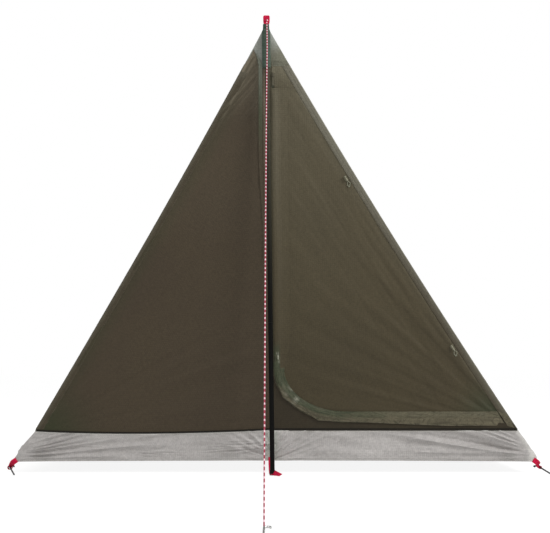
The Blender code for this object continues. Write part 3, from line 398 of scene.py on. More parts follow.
# Hem: painted near-black, as the shadow under the canopy's lower edge.
hem_shadow_finish = woven_cloth("canopy_hem_painted_shadow", srgb(34, 31, 24), srgb(28, 26, 20), 0.7)
# Band: the greener turn is the cloth's own; the paler turn is a painted highlight.
band_finish = woven_cloth("band_cloth", srgb(189, 185, 182), srgb(172, 168, 165), 0.38,
                          (("tone_and_light", srgb(160, 165, 154)), ("painted_light", srgb(214, 212, 206))),
                          bump=0.8, sheen=0.05, blotch=5.0)
floor_finish = woven_cloth("groundsheet_cloth", srgb(168, 166, 162), srgb(158, 156, 152), 0.6, blotch=5.0)
# Webbing: each second, darker colour is painted shade in the hollows between the ribs.
teal_finish = webbing_finish("teal_webbing", srgb(58, 78, 66), srgb(34, 48, 40))
sleeve_finish = webbing_finish("sleeve_webbing", srgb(73, 89, 77), srgb(49, 61, 52))
red_finish = webbing_finish("red_webbing", srgb(208, 20, 68), srgb(156, 8, 42))
tape_finish = webbing_finish("zip_tape_weave", srgb(94, 90, 74), srgb(72, 68, 55))
tab_finish = webbing_finish("toggle_tab_weave", srgb(112, 110, 90), srgb(80, 78, 62))
elastic_finish = webbing_finish("toggle_elastic", srgb(142, 142, 124), srgb(96, 96, 80))
# Pole: the paler olive towards the top is a painted highlight.
pole_finish = hard_finish("pole_coating", srgb(9, 9, 8), srgb(20, 20, 19), 0.42, 0.0, specular=0.06,
                          high=srgb(66, 63, 51))
nylon_finish = hard_finish("black_nylon", srgb(10, 10, 10), srgb(18, 18, 17), 0.5, 0.0, specular=0.1)
ferrule_finish = hard_finish("pole_ferrule", (0.060, 0.060, 0.056, 1), (0.034, 0.034, 0.032, 1), 0.4, 1.0)
steel_finish = hard_finish("plated_steel", (0.52, 0.52, 0.51, 1), (0.40, 0.40, 0.39, 1), 0.34, 1.0)
eyelet_finish = hard_finish("eyelet_plating", (0.10, 0.105, 0.10, 1), (0.06, 0.06, 0.06, 1), 0.35, 1.0)
peg_finish = hard_finish("peg_coating", srgb(14, 12, 12), srgb(26, 24, 23), 0.45, 0.0, specular=0.1)
zip_metal_finish = hard_finish("zip_enamel", srgb(92, 87, 71), srgb(80, 75, 60), 0.55, 0.0, specular=0.3)
teeth_finish = hard_finish("zip_coil", srgb(82, 78, 64), srgb(70, 66, 54), 0.5, 0.0, specular=0.3)
toggle_finish = hard_finish("toggle_plastic", srgb(124, 121, 103), srgb(104, 102, 86), 0.5, 0.0, specular=0.3)
thread_finish = hard_finish("dark_thread", srgb(94, 92, 76), srgb(76, 74, 60), 0.8, 0.0, specular=0.1)
green_thread_finish = hard_finish("green_thread", srgb(92, 93, 77), srgb(82, 84, 68), 0.8, 0.0, specular=0.1)
pale_thread_finish = hard_finish("pale_thread", srgb(150, 150, 142), srgb(130, 130, 122), 0.8, 0.0,
                                 specular=0.1)
cord_finish = braid_finish("guy_cord_braid", srgb(248, 206, 214), srgb(158, 12, 54), 0.0143)


# Mesh helpers

def placed(name, data):
    """A new object in the scene."""
    made = bpy.data.objects.new(name, data)
    bpy.context.scene.collection.objects.link(made)
    return made


def finished(name, mesh, finish, body, replaces=()):
    """A finished piece on its body, in place of the part's own solids."""
    mesh.name = name
    mesh.materials.clear()
    mesh.materials.append(finish)
    mesh.shade_smooth()
    mesh.set_sharp_from_angle(angle=math.radians(50))
    piece = placed(name, mesh)
    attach(piece, body)
    if replaces:
        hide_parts(*replaces)
    return piece


def cloth_shell(points, thickness, outward, tone_and_light=None):
    """A closed shell of cloth from a grid of outer points, with UVs in metres along the threads."""
    rows, cols = len(points), len(points[0])
    inner = []
    for i in range(rows):
        line = []
        for j in range(cols):
            across = points[i][min(j + 1, cols - 1)] - points[i][max(j - 1, 0)]
            up = points[min(i + 1, rows - 1)][j] - points[max(i - 1, 0)][j]
            normal = across.cross(up)
            if normal.length < 1e-12:
                normal = outward.copy()
            normal.normalize()
            if normal.dot(outward) < 0:
                normal.negate()
            line.append(points[i][j] - normal * thickness)
        inner.append(line)
    verts = [p for line in points for p in line] + [p for line in inner for p in line]
    base = rows * cols

    def at(i, j, deep=0):
        return deep * base + i * cols + j

    middle = points[rows // 2]
    probe = (middle[-1] - middle[0]).cross(points[-1][cols // 2] - points[0][cols // 2])
    forward = probe.dot(outward) > 0
    faces = []
    for i in range(rows - 1):
        for j in range(cols - 1):
            quad = (at(i, j), at(i, j + 1), at(i + 1, j + 1), at(i + 1, j))
            back = (at(i, j, 1), at(i + 1, j, 1), at(i + 1, j + 1, 1), at(i, j + 1, 1))
            faces += [quad, back] if forward else [quad[::-1], back[::-1]]
    rim = []
    for j in range(cols - 1):
        rim.append((at(0, j, 1), at(0, j + 1, 1), at(0, j + 1), at(0, j)))
        rim.append((at(rows - 1, j), at(rows - 1, j + 1), at(rows - 1, j + 1, 1), at(rows - 1, j, 1)))
    for i in range(rows - 1):
        rim.append((at(i, 0), at(i + 1, 0), at(i + 1, 0, 1), at(i, 0, 1)))
        rim.append((at(i, cols - 1, 1), at(i + 1, cols - 1, 1), at(i + 1, cols - 1), at(i, cols - 1)))
    faces += rim if forward else [f[::-1] for f in rim]
    mesh = bpy.data.meshes.new("cloth")
    mesh.from_pydata(verts, [], faces)
    threads = []
    run_up = [0.0] * cols
    for i in range(rows):
        run_across = 0.0
        for j in range(cols):
            if j:
                run_across += (points[i][j] - points[i][j - 1]).length
            if i:
                run_up[j] += (points[i][j] - points[i - 1][j]).length
            threads.append((run_across, run_up[j]))
    threads += threads
    layer = mesh.uv_layers.new(name="cloth")
    for loop in mesh.loops:
        layer.data[loop.index].uv = threads[loop.vertex_index]
    return painted(mesh, tone_and_light) if tone_and_light else mesh


def painted(mesh, tone_and_light, kept="tone_and_light"):
    """Keep a share from 0 to 1 at each vertex, by which a cloth turns to another colour."""
    share = mesh.attributes.new(kept, "FLOAT", "POINT")
    share.data.foreach_set("value", [min(max(tone_and_light(v.co), 0.0), 1.0) for v in mesh.vertices])
    return mesh


def grid(rows, cols, place):
    return [[place(j / (cols - 1), i / (rows - 1)) for j in range(cols)] for i in range(rows)]


def ring_mesh(rings, closed=False):
    """A skin over rings of points, with UVs in metres: capped at both ends, or closed on itself."""
    verts = [p for ring in rings for p in ring]
    count = len(rings[0])
    total = len(rings)
    faces = []
    for i in range(total if closed else total - 1):
        k = (i + 1) % total
        for j in range(count):
            m = (j + 1) % count
            faces.append((i * count + j, i * count + m, k * count + m, k * count + j))
    if not closed:
        faces.append(tuple(range(count))[::-1])
        faces.append(tuple((total - 1) * count + j for j in range(count)))
    mesh = bpy.data.meshes.new("rings")
    mesh.from_pydata(verts, [], faces)
    around = [0.0]
    for j in range(1, count + 1):
        around.append(around[-1] + (rings[0][j % count] - rings[0][j - 1]).length)
    along = [0.0]
    for i in range(1, total + 1):
        along.append(along[-1] + (rings[i % total][0] - rings[i - 1][0]).length)
    layer = mesh.uv_layers.new(name="cloth")
    for face in mesh.polygons:
        corners = [divmod(mesh.loops[loop].vertex_index, count) for loop in face.loop_indices]
        wraps_round = any(j == count - 1 for _, j in corners)
        wraps_along = closed and any(i == total - 1 for i, _ in corners)
        for loop, (i, j) in zip(face.loop_indices, corners):
            u = around[count] if j == 0 and wraps_round else around[j]
            v = along[total] if i == 0 and wraps_along else along[i]
            layer.data[loop].uv = (u, v)
    form = bmesh.new()
    form.from_mesh(mesh)
    bmesh.ops.recalc_face_normals(form, faces=form.faces)
    form.to_mesh(mesh)
    form.free()
    return mesh


def run_at(path, i):
    """The way a path runs at one of its points."""
    return path[min(i + 1, len(path) - 1)] - path[max(i - 1, 0)]


def once_round(sides):
    """Cosine and sine of even steps once round."""
    return [(math.cos(2 * math.pi * k / sides), math.sin(2 * math.pi * k / sides)) for k in range(sides)]


def strap_rings(path, across, width, thickness):
    """Rings of a flat strap with rounded selvedges; across may turn along the path."""
    half, deep = width / 2, thickness / 2
    inner = half - thickness * 0.25
    form = ((-half, 0), (-inner, -deep), (-inner * 0.5, -deep), (inner * 0.5, -deep), (inner, -deep),
            (half, 0), (inner, deep), (inner * 0.5, deep), (-inner * 0.5, deep), (-inner, deep))
    rings = []
    for i, point in enumerate(path):
        run = run_at(path, i).normalized()
        side = across[i] if isinstance(across, list) else across
        side = (side - run * side.dot(run)).normalized()
        face = side.cross(run).normalized()
        rings.append([point + side * s + face * n for s, n in form])
    return rings


def rounded_route(route, steps):
    """Evenly numbered points on a smooth curve through the route's own points."""
    points = [Vector(p) for p in route]
    spans = len(points) - 1
    made = []
    for step in range(steps + 1):
        place = min(step * spans / steps, spans - 1e-9)
        i = int(place)
        t = place - i
        p0, p1, p2 = points[max(i - 1, 0)], points[i], points[i + 1]
        p3 = points[min(i + 2, spans)]
        made.append(0.5 * (2 * p1 + (p2 - p0) * t + (2 * p0 - 5 * p1 + 4 * p2 - p3) * t * t
                           + (3 * p1 - p0 - 3 * p2 + p3) * t ** 3))
    return made


def tube_rings(path, radius, sides):
    rings = []
    away = Vector((1, 0, 0))
    for i, point in enumerate(path):
        run = run_at(path, i).normalized()
        away = (away - run * away.dot(run)).normalized()
        beside = run.cross(away)
        rings.append([point + (away * c + beside * s) * radius for c, s in once_round(sides)])
    return rings


def joined(name, meshes):
    """Several meshes as one, with their UVs kept."""
    form = bmesh.new()
    for mesh in meshes:
        form.from_mesh(mesh)
    whole = bpy.data.meshes.new(name)
    form.to_mesh(whole)
    form.free()
    return whole


# Camera, guy cord and knot

CORD_RADIUS = 0.0015
KNOT_CENTRE = Vector((-0.0232, -1.3119, 1.2720))
KNOT_RADIUS = 0.0040
CORD_ROUTE = [
    (-0.0217, -1.4000, 1.1815),
    (-0.0219, -1.5165, 1.0530),
    (-0.0221, -1.6143, 0.9455),
    (-0.0221, -1.7228, 0.8270),
    (-0.0220, -1.8542, 0.6840),
    (-0.0219, -1.9323, 0.5995),
    (-0.0215, -2.0846, 0.4350),
    (-0.0212, -2.1900, 0.3220),
    (-0.0208, -2.3013, 0.2030),
    (-0.0206, -2.3533, 0.1475),
    (-0.0203, -2.4475, 0.0475),
    (-0.0201, -2.4870, 0.0058),
]


def camera():
    data = bpy.data.cameras.new("front_camera")
    data.lens = 83.65
    data.sensor_width = 36.0
    data.clip_start = 0.05
    data.clip_end = 60
    viewer = placed("front_camera", data)
    viewer.location = (0, -4.855, 0.2955)
    viewer.rotation_euler = (math.radians(90 + 4.5), 0, 0)
    bpy.context.scene.camera = viewer


def knot():
    """A figure-of-eight knot: a short length of cord wound on itself and drawn tight."""
    turns = 90
    loops = []
    for i in range(turns):
        t = 2 * math.pi * i / turns
        swing = 2 + math.cos(2 * t)
        local = Vector((swing * math.cos(3 * t), swing * math.sin(3 * t), math.sin(4 * t)))
        loops.append(KNOT_CENTRE + Vector((local.x * 0.00092, local.y * 0.00080, local.z * 0.00125)))
    core = bpy.data.meshes.new("core")
    form = bmesh.new()
    bmesh.ops.create_icosphere(form, subdivisions=2, radius=0.0026)
    bmesh.ops.translate(form, verts=form.verts, vec=KNOT_CENTRE)
    layer = form.loops.layers.uv.new("cloth")
    for face in form.faces:
        for loop in face.loops:
            loop[layer].uv = (0, loop.vert.co.z)
    form.to_mesh(core)
    form.free()
    mesh = joined("guy_knot_tied", [ring_mesh(tube_rings(loops, 0.00125, 8), closed=True), core])
    return finished("guy_knot_tied", mesh, cord_finish, "tent", ["guy_knot"])


def guy_line():
    """The taut guy cord, from the knot down to the peg in front of the tent."""
    start = KNOT_CENTRE + (Vector(CORD_ROUTE[0]) - KNOT_CENTRE).normalized() * (KNOT_RADIUS + GAP)
    route = [start] + CORD_ROUTE
    path = rounded_route(route, 60)
    fine = rounded_route(route, 240)
    mesh = ring_mesh(tube_rings(fine, CORD_RADIUS, 10))
    cord = finished("guy_cord_braided", mesh, cord_finish, "tent", ["guy_cord"])
    tied = knot()


# Folds of the cloth

LEFT_CORNER = Vector((-0.690, 0.110))
RIGHT_CORNER = Vector((0.690, 0.110))


def ridged(value):
    """Turn even waves into creases: broad hollows with narrow crests."""
    return 0.5 - abs(value) * 1.6


def fan_folds(x, z, corner, seed, spread):
    """Long soft folds that run out from a pegged corner of the front."""
    dx, dz = abs(x - corner.x), z - corner.y
    far = math.hypot(dx, dz)
    angle = math.atan2(dz, dx)
    across = angle * spread
    wave = noise.noise(Vector((across, far * 1.6, seed)))
    wave += 0.5 * noise.noise(Vector((across * 2.3, far * 2.4, seed + 7)))
    return wave * smooth(far / 0.10) * mix(1.0, 0.35, smooth((far - 0.35) / 0.8))


def slanted_folds(x, z, slope_degrees, seed, width):
    """Long parallel streaks at one slope."""
    turn = math.radians(slope_degrees)
    along = x * math.cos(turn) + z * math.sin(turn)
    across = -x * math.sin(turn) + z * math.cos(turn)
    wave = noise.noise(Vector((across / width, along / (width * 9), seed)))
    return wave + 0.4 * noise.noise(Vector((across / width * 2.6, along / (width * 6), seed + 3)))


def front_folds(x, z):
    fan = fan_folds(x, z, LEFT_CORNER, 3.1, 13.0) * 0.0036
    streaks = slanted_folds(x, z, 47, 2.2, 0.045) * 0.0017
    puckers = 0.0
    near_zip = zip_x(z) - PANEL_OFFSET - x
    if 0 <= near_zip < 0.075:
        slant = (z + near_zip * 0.9) / 0.019
        strength = smooth((z - 0.30) / 0.12) * smooth((0.90 - z) / 0.25)
        puckers = 0.0011 * math.sin(2 * math.pi * slant + 2.5 * noise.noise(Vector((0.3, z * 14, 1.7))))
        puckers *= strength * smooth(1 - near_zip / 0.075) * smooth(near_zip / 0.004)
    ridge = x - left_x(z)
    gathers = noise.noise(Vector(((x - z * 0.95) / 0.011, (x + z) * 2.0, 9.0))) * 0.0046
    gathers *= smooth((z - 0.94) / 0.14) * smooth((-0.047 - x) / 0.014)
    creases = 0.0012 * ridged(noise.noise(Vector((x * 11.0, (z + x * 0.25) / 0.017, 4.0))))
    creases *= smooth(1 - abs(z - 0.40) / 0.10) * smooth(1 - abs(x + 0.10) / 0.10)
    return fan + streaks + puckers + gathers + creases * smooth(ridge / 0.05)


def door_folds(x, z):
    right = fan_folds(x, z, RIGHT_CORNER, 8.6, 14.0) * 0.0026
    ridge = right_x(z) - x
    streaks = slanted_folds(x, z, -58, 5.0, 0.030) * 0.0022 * mix(1.0, 0.35, smooth(ridge / 0.35))
    head = ridged(noise.noise(Vector((x / 0.03, z / 0.05, 6.0)))) * 0.0012 * smooth((z - 0.9) / 0.15)
    return right + streaks + head


def soft_fall(distance, reach):
    """0 on a seam and 1 a little way inside the panel."""
    return smooth(distance / reach)


def on_front(x, z, lift=0.0):
    return Vector((x, front_y(z), z)) + FRONT_OUT * lift


# Canopy

TONGUE_TOP = 1.188


def tongue_edge(z):
    """The fixed half's right edge over the pale crown."""
    share = smooth((z - CROWN_BOTTOM) / (TONGUE_TOP - CROWN_BOTTOM))
    return mix(-0.0485, -0.0566, share)


def left_tone(point):
    """Greener cloth in the lower left corner and along the left ridge."""
    far = math.hypot(point.x - LEFT_CORNER.x, (point.z - LEFT_CORNER.y) * 1.1)
    corner = smooth(1 - far / 0.24)
    ridge = 0.45 * smooth(1 - (point.x - left_x(point.z)) / 0.07)
    top = 0.12 * smooth((point.z - 0.9) / 0.25)
    return max(corner, ridge, top)


def left_painted_light(point):
    """Painted light: paler streaks along the ridge and on the fold crests near the top, paler cloth higher up
    and beside the edge strip, and a paler, redder strip beside the zip that lifts the pole's shade.
    """
    x, z = point.x, point.z
    ridge = x - left_x(z)
    streak = smooth(1 - abs(ridge - 0.006) / 0.008) + 0.5 * smooth(1 - abs(ridge - 0.021) / 0.007)
    streak *= smooth((z - 0.88) / 0.18)
    slant = noise.noise(Vector(((x - z * 0.95) / 0.011, (x + z) * 2.0, 9.0)))
    streak += 0.45 * max(slant, 0) * smooth((z - 0.94) / 0.14)
    streak += 0.34 * smooth(1 - (-0.034 - x) / 0.040) * smooth((z - 0.84) / 0.24)
    beside = 0.42 * smooth(1 - abs(zip_x(z) - 0.0225 - x) / 0.009) * smooth((z - 0.45) / 0.3)
    high = 0.05 * smooth((z - 0.6) / 0.2) + 0.30 * smooth((z - 0.98) / 0.15)
    return high + streak * 0.7 + beside * smooth((1.10 - z) / 0.05)


def hem_sag(x):
    """How far the seam over the band hangs down between the left ridge and the pole."""
    share = min(max((x + 0.712) / 0.692, 0.0), 1.0)
    return 0.0105 * max(math.sin(math.pi * share ** 0.85), 0.0) ** 0.8


def sagged(mesh):
    """Let the front's cloth down with its seam, less and less away from it."""
    for vertex in mesh.vertices:
        place = vertex.co
        if place.y > front_y(place.z) + 0.008:
            continue
        above = smooth(1 - (place.z - BAND_TOP) / 0.20)
        below = min(max((place.z - HEM_HEIGHT) / (BAND_TOP - HEM_HEIGHT), 0.0), 1.0)
        drop = hem_sag(place.x) * min(above, below)
        place.z -= drop
        place.y += FRONT_SLOPE * drop
    return mesh


def front_left_cloth():
    """The fixed half of the front as one sheet. Its top laps over the pale crown as a tongue."""
    def place(s, t):
        z = mix(WALL_LOW, TONGUE_TOP, t ** 0.92)
        if z <= CROWN_BOTTOM:
            left, right = left_x(z) + 0.0012, zip_x(z) - PANEL_OFFSET
            over = smooth((z - CROWN_BOTTOM + 0.030) / 0.030)
            right = mix(right, tongue_edge(CROWN_BOTTOM), smooth((z - CROWN_BOTTOM + 0.016) / 0.016))
        else:
            left, right = left_x(z) + 0.0012 + 0.0030 * smooth((z - CROWN_BOTTOM) / 0.02), tongue_edge(z)
            right = mix(right, left + 0.0006, smooth((z - 1.176) / 0.012))
            over = 1.0
        x = mix(left, right, s)
        narrow = max(right - left, 0.002)
        inside = soft_fall(x - left, min(0.03, narrow / 3)) * soft_fall(right - x, min(0.006, narrow / 4))
        inside *= soft_fall(z - BAND_TOP, 0.03)
        belly = -0.0050 * math.sin(math.pi * s) * math.sin(math.pi * min(t * 1.05, 1.0)) * (1 - over)
        folds = max(front_folds(x, z), -0.0022) if over > 0 else front_folds(x, z)
        return on_front(x, z, 0.0006 + 0.0028 * over + (belly + folds) * inside)

    mesh = cloth_shell(grid(250, 150, place), CANOPY_CLOTH, FRONT_OUT, left_tone)
    # Painted light on the fixed half: highlights on the ridge and folds, paler cloth near the top and beside
    # the zip.
    painted(mesh, left_painted_light, "painted_light")
    return finished("front_left_cloth", sagged(mesh), canopy_finish, "tent", ["front_left_panel"])


def edge_strip():
    """The pale facing beside the fixed half's free edge, fading out down the zip."""
    def place(s, t):
        z = mix(0.60, 1.176, t)
        left = mix(-0.0325, -0.0462, smooth((z - 0.62) / 0.30)) - 0.0072 * smooth((z - CROWN_BOTTOM) / 0.03)
        width = mix(0.0030, 0.0104, smooth((z - 0.62) / 0.28)) * mix(1.0, 0.30, smooth((z - 1.140) / 0.035))
        x = left + width * s
        ripple = 0.0006 * noise.noise(Vector((x * 60, z / 0.02, 3.0)))
        return on_front(x, z, mix(0.0014, 0.0040, smooth((z - 1.04) / 0.06)) + ripple)

    # Painted light: the strip is paler towards the top, where light shines through it, and darker lower down.
    mesh = cloth_shell(grid(150, 5, place), 0.0005, FRONT_OUT, lambda p: smooth((p.z - 1.00) / 0.15))
    painted(mesh, lambda p: smooth((1.02 - p.z) / 0.14), "low")
    return finished("front_edge_strip", mesh, strip_finish, "tent", [])


def door_lift(x, z):
    """How far the door's cloth stands out of the front's plane at one place."""
    left, right = door_left_x(z), door_edge_x(z)
    low = ZIP_SILL + PANEL_OFFSET
    share = min(max((x - left) / (right - left), 0.0), 1.0)
    height = min(max((z - low) / (DOOR_TOP - low), 0.0), 1.0)
    inside = soft_fall(x - left, 0.012) * soft_fall(right - x, 0.004) * soft_fall(z - low, 0.02)
    inside *= soft_fall(DOOR_TOP - z, 0.03)
    belly = -0.0036 * math.sin(math.pi * share) * math.sin(math.pi * min(height * 1.2, 1.0))
    return (belly + door_folds(x, z)) * inside


def door_painted_light(point):
    """Painted light: the leaf is painted paler towards the top, a little along its sewn side and beside the
    zip, and most at its head.
    """
    high = max((point.z - 0.20) / 0.95, 0.0) ** 1.4
    ridge = 0.30 * smooth(1 - (right_x(point.z) - point.x) / 0.06)
    beside = 0.30 * smooth(1 - (point.x - zip_x(point.z)) / 0.020) * smooth((point.z - 0.6) / 0.3)
    top = 0.34 * smooth((point.z - 1.085) / 0.05)
    return 0.57 * (0.66 * high + ridge + beside) + top


def door_cloth():
    """The door leaf, from the zip's line to the binding of the right ridge."""
    low = ZIP_SILL + PANEL_OFFSET

    def place(s, t):
        z = mix(low, DOOR_TOP, t)
        x = mix(door_left_x(z), door_edge_x(z), s)
        return on_front(x, z, door_lift(x, z))

    # Painted light: the leaf is paler towards the top and beside its seams.
    mesh = cloth_shell(grid(230, 150, place), CANOPY_CLOTH, FRONT_OUT, door_painted_light)
    painted(mesh, lambda p: smooth(1 - math.hypot(p.x - 0.62, p.z - 0.16) / 0.15), "green")
    return finished("door_cloth", mesh, door_finish, "door", ["door_panel"])


def bend_centre():
    return zip_x(ZIP_BEND) + BEND_REACH, ZIP_BEND


def bend_point(turn, offset):
    """A point at a turn round the zip's bend, moved towards the door by offset."""
    cx, cz = bend_centre()
    x = cx - BEND_REACH * math.cos(turn)
    z = cz - BEND_RISE * math.sin(turn)
    run = Vector((BEND_REACH * math.sin(turn), -BEND_RISE * math.cos(turn))).normalized()
    return Vector((x, z)) + Vector((-run.y, run.x)) * offset


def door_left_x(z):
    """The door leaf's edge beside the zip at one height."""
    if z >= ZIP_BEND:
        return zip_x(z) + PANEL_OFFSET
    low, high = 0.0, math.pi / 2
    for _ in range(30):
        middle = (low + high) / 2
        if bend_point(middle, PANEL_OFFSET).y > z:
            low = middle
        else:
            high = middle
    return bend_point((low + high) / 2, PANEL_OFFSET).x


def bend_height(x, offset):
    """Height of the zip's offset line above a place on the sill."""
    cx = bend_centre()[0]
    if x >= cx:
        return ZIP_SILL + offset
    low, high = 0.0, math.pi / 2
    for _ in range(30):
        middle = (low + high) / 2
        if bend_point(middle, offset).x < x:
            low = middle
        else:
            high = middle
    return bend_point((low + high) / 2, offset).y


def sill_cloth():
    """The fixed strip under the zip's bend and sill, painted darker than the canopy as the shade under the
    storm flap.
    """
    def place(s, t):
        left = zip_x(ZIP_BEND) - PANEL_OFFSET + 0.0002
        x = mix(left, right_x(BAND_TOP) - 0.0010, s ** 1.4)
        top = min(bend_height(x, -PANEL_OFFSET + 0.0024), ZIP_BEND)
        z = mix(WALL_LOW, top, t)
        x = min(x, right_x(z) - 0.0010)
        calm = soft_fall(z - BAND_TOP, 0.01) * soft_fall(right_x(z) - x, 0.02)
        ripple = 0.0011 * noise.noise(Vector((x / 0.035, z / 0.02, 2.0))) * calm
        return on_front(x, z, 0.0013 + ripple)

    mesh = cloth_shell(grid(18, 190, place), CANOPY_CLOTH, FRONT_OUT)
    return finished("door_sill_cloth", mesh, sill_shade_finish, "tent", ["door_sill"])


def head_cloth():
    """The fixed cloth above the door, beside the zip's top."""
    def place(s, t):
        z = mix(DOOR_TOP + 0.0002, CROWN_BOTTOM - 0.0003, t)
        cover = smooth((z - 1.1216) / 0.0012)
        left, right = zip_x(z) + mix(0.0033, -0.0036, cover), door_edge_x(z)
        x = mix(left, right, s)
        ripple = 0.0006 * noise.noise(Vector((x / 0.02, z / 0.03, 3.0))) * soft_fall(z - DOOR_TOP, 0.01)
        return on_front(x, z, 0.0012 * cover * smooth(1 - (x - left) / 0.012) + ripple)

    # Painted light: the head cloth is painted paler, like the leaf's top.
    mesh = cloth_shell(grid(64, 18, place), CANOPY_CLOTH, FRONT_OUT, door_painted_light)
    return finished("door_head_cloth", mesh, door_finish, "tent", ["door_head"])


def side_cloth(side, name, node_name):
    """A side wall: it hangs a little slack between its ridges, with folds from both ends."""
    out = side_out(side)

    def place(s, t):
        z = mix(WALL_LOW, CROWN_BOTTOM - 0.0006, t)
        front, rear = front_y(z) + 0.004, rear_y(z) - 0.010
        y = mix(front, rear, s)
        slack = 0.020 * math.sin(math.pi * s) * math.sin(math.pi * t) ** 0.8
        above = z - 0.1
        far_front = math.hypot(y - FRONT_Y, above)
        far_rear = math.hypot(y - REAR_Y, above)
        fan = noise.noise(Vector((math.atan2(above, y - FRONT_Y + 0.05) * 12, far_front * 1.3, side * 4)))
        fan *= smooth(1 - far_front / 1.6)
        back = noise.noise(Vector((math.atan2(above, REAR_Y - y + 0.05) * 16, far_rear * 1.3, side * 9)))
        back *= smooth(1 - far_rear / 1.8)
        inside = soft_fall(s * (rear - front), 0.05) * soft_fall((1 - s) * (rear - front), 0.05)
        inside *= soft_fall(z - BAND_TOP, 0.03)
        return Vector((ridge_x(side, z), y, z)) + out * (0.0045 * (fan + back) * inside - slack)

    mesh = cloth_shell(grid(110, 220, place), CANOPY_CLOTH, out)
    return finished(name, mesh, canopy_finish, "tent", [node_name])


def rear_cloth():
    """The long rear wall: a slack sheet with a shallow hollow along its middle."""
    def place(s, t):
        z = mix(WALL_LOW, CROWN_BOTTOM - 0.0006, t)
        left, right = left_x(z) + 0.003, right_x(z) - 0.003
        x = mix(left, right, s)
        slack = 0.030 * math.sin(math.pi * s) * math.sin(math.pi * t) ** 0.8
        inside = soft_fall(x - left, 0.05) * soft_fall(right - x, 0.05) * soft_fall(z - BAND_TOP, 0.02)
        across = (x + CROWN_SHIFT * t) / (0.06 + 0.25 * (1 - t)) * 1.3
        fold = 0.0040 * noise.noise(Vector((across, t * 5.0, 12.0)))
        angle = math.atan2(abs(x), (1.2 - z) + 0.05) * 14
        fan = 0.0040 * noise.noise(Vector((angle, z * 2, 15.0 if x > 0 else 18.0)))
        return Vector((x, rear_y(z), z)) + REAR_OUT * ((fold + fan) * inside - slack)

    mesh = cloth_shell(grid(220, 110, place), CANOPY_CLOTH, REAR_OUT)
    return finished("rear_cloth", mesh, canopy_finish, "tent", ["rear_panel"])


def four_corners(z):
    """The tent's plan at one height, once round from the front left."""
    left, right, front, rear = left_x(z), right_x(z), front_y(z), rear_y(z)
    return [(left, front), (right, front), (right, rear), (left, rear)]


def crown_painted_shade(point):
    """Painted shade: darker cloth on the crown's right flank and low down beside the door."""
    low = smooth((1.222 - point.z) / 0.058) * smooth((point.x + 0.034) / 0.016)
    return low + 0.35 * smooth(point.x / 0.03)


def crown_cloth():
    """The pale patch over the peak: one closed round of cloth with folds gathered to the top."""
    rows = 26
    per_side = 10
    outs = (Vector((0, -1, 0)), Vector((1, 0, 0)), Vector((0, 1, 0)), Vector((-1, 0, 0)))
    rings = []
    for i in range(rows):
        z = mix(CROWN_BOTTOM - 0.006, CROWN_HEIGHT, i / (rows - 1))
        corners = four_corners(z)
        ring = []
        for k in range(4):
            x0, y0 = corners[k]
            x1, y1 = corners[(k + 1) % 4]
            for j in range(per_side):
                s = j / per_side
                fold = 0.0011 * math.sin(math.pi * s) * noise.noise(Vector((s * 5.0, z * 9, k * 3.0)))
                ring.append(Vector((mix(x0, x1, s), mix(y0, y1, s), z)) + outs[k] * (0.0011 + fold))
        rings.append(ring)

    def drawn_in(away):
        return math.copysign(min(abs(away), CROWN_CLOTH), away)

    inner = []
    for ring in rings[::-1]:
        middle = sum(ring, Vector()) / len(ring)
        inner.append([p + Vector((drawn_in(middle.x - p.x), drawn_in(middle.y - p.y), 0)) for p in ring])
    # Painted shade on the crown's right flank and low down.
    mesh = painted(ring_mesh(rings + inner, closed=True), crown_painted_shade)
    return finished("crown_cloth", mesh, crown_finish, "tent", ["crown_patch"])


def ridge_painted_highlight(point):
    """Painted highlight: the front ridges are painted paler towards their outer edge, and the right one
    towards the top too, with a pale line beside its seam.
    """
    if point.y > front_y(point.z) + 0.012:
        return 0.0
    if point.x < centre_x(point.z):
        edge = 0.22 * smooth(1 - (point.x - left_x(point.z)) / 0.008)
        return mix(edge, 0.34, smooth((point.z - 1.085) / 0.05))
    inset = right_x(point.z) - point.x
    outer = smooth(1 - inset / 0.022)
    high = smooth((point.z - 0.80) / 0.2)
    line = 0.45 * high * smooth(1 - abs(inset - 0.0165) / 0.0035)
    line *= smooth(0.5 + 2 * noise.noise(Vector((point.z * 26, 0, 7.0))))
    return mix(0.50 * outer, 0.62 + 0.25 * outer, smooth((point.z - 0.42) / 0.55)) + line


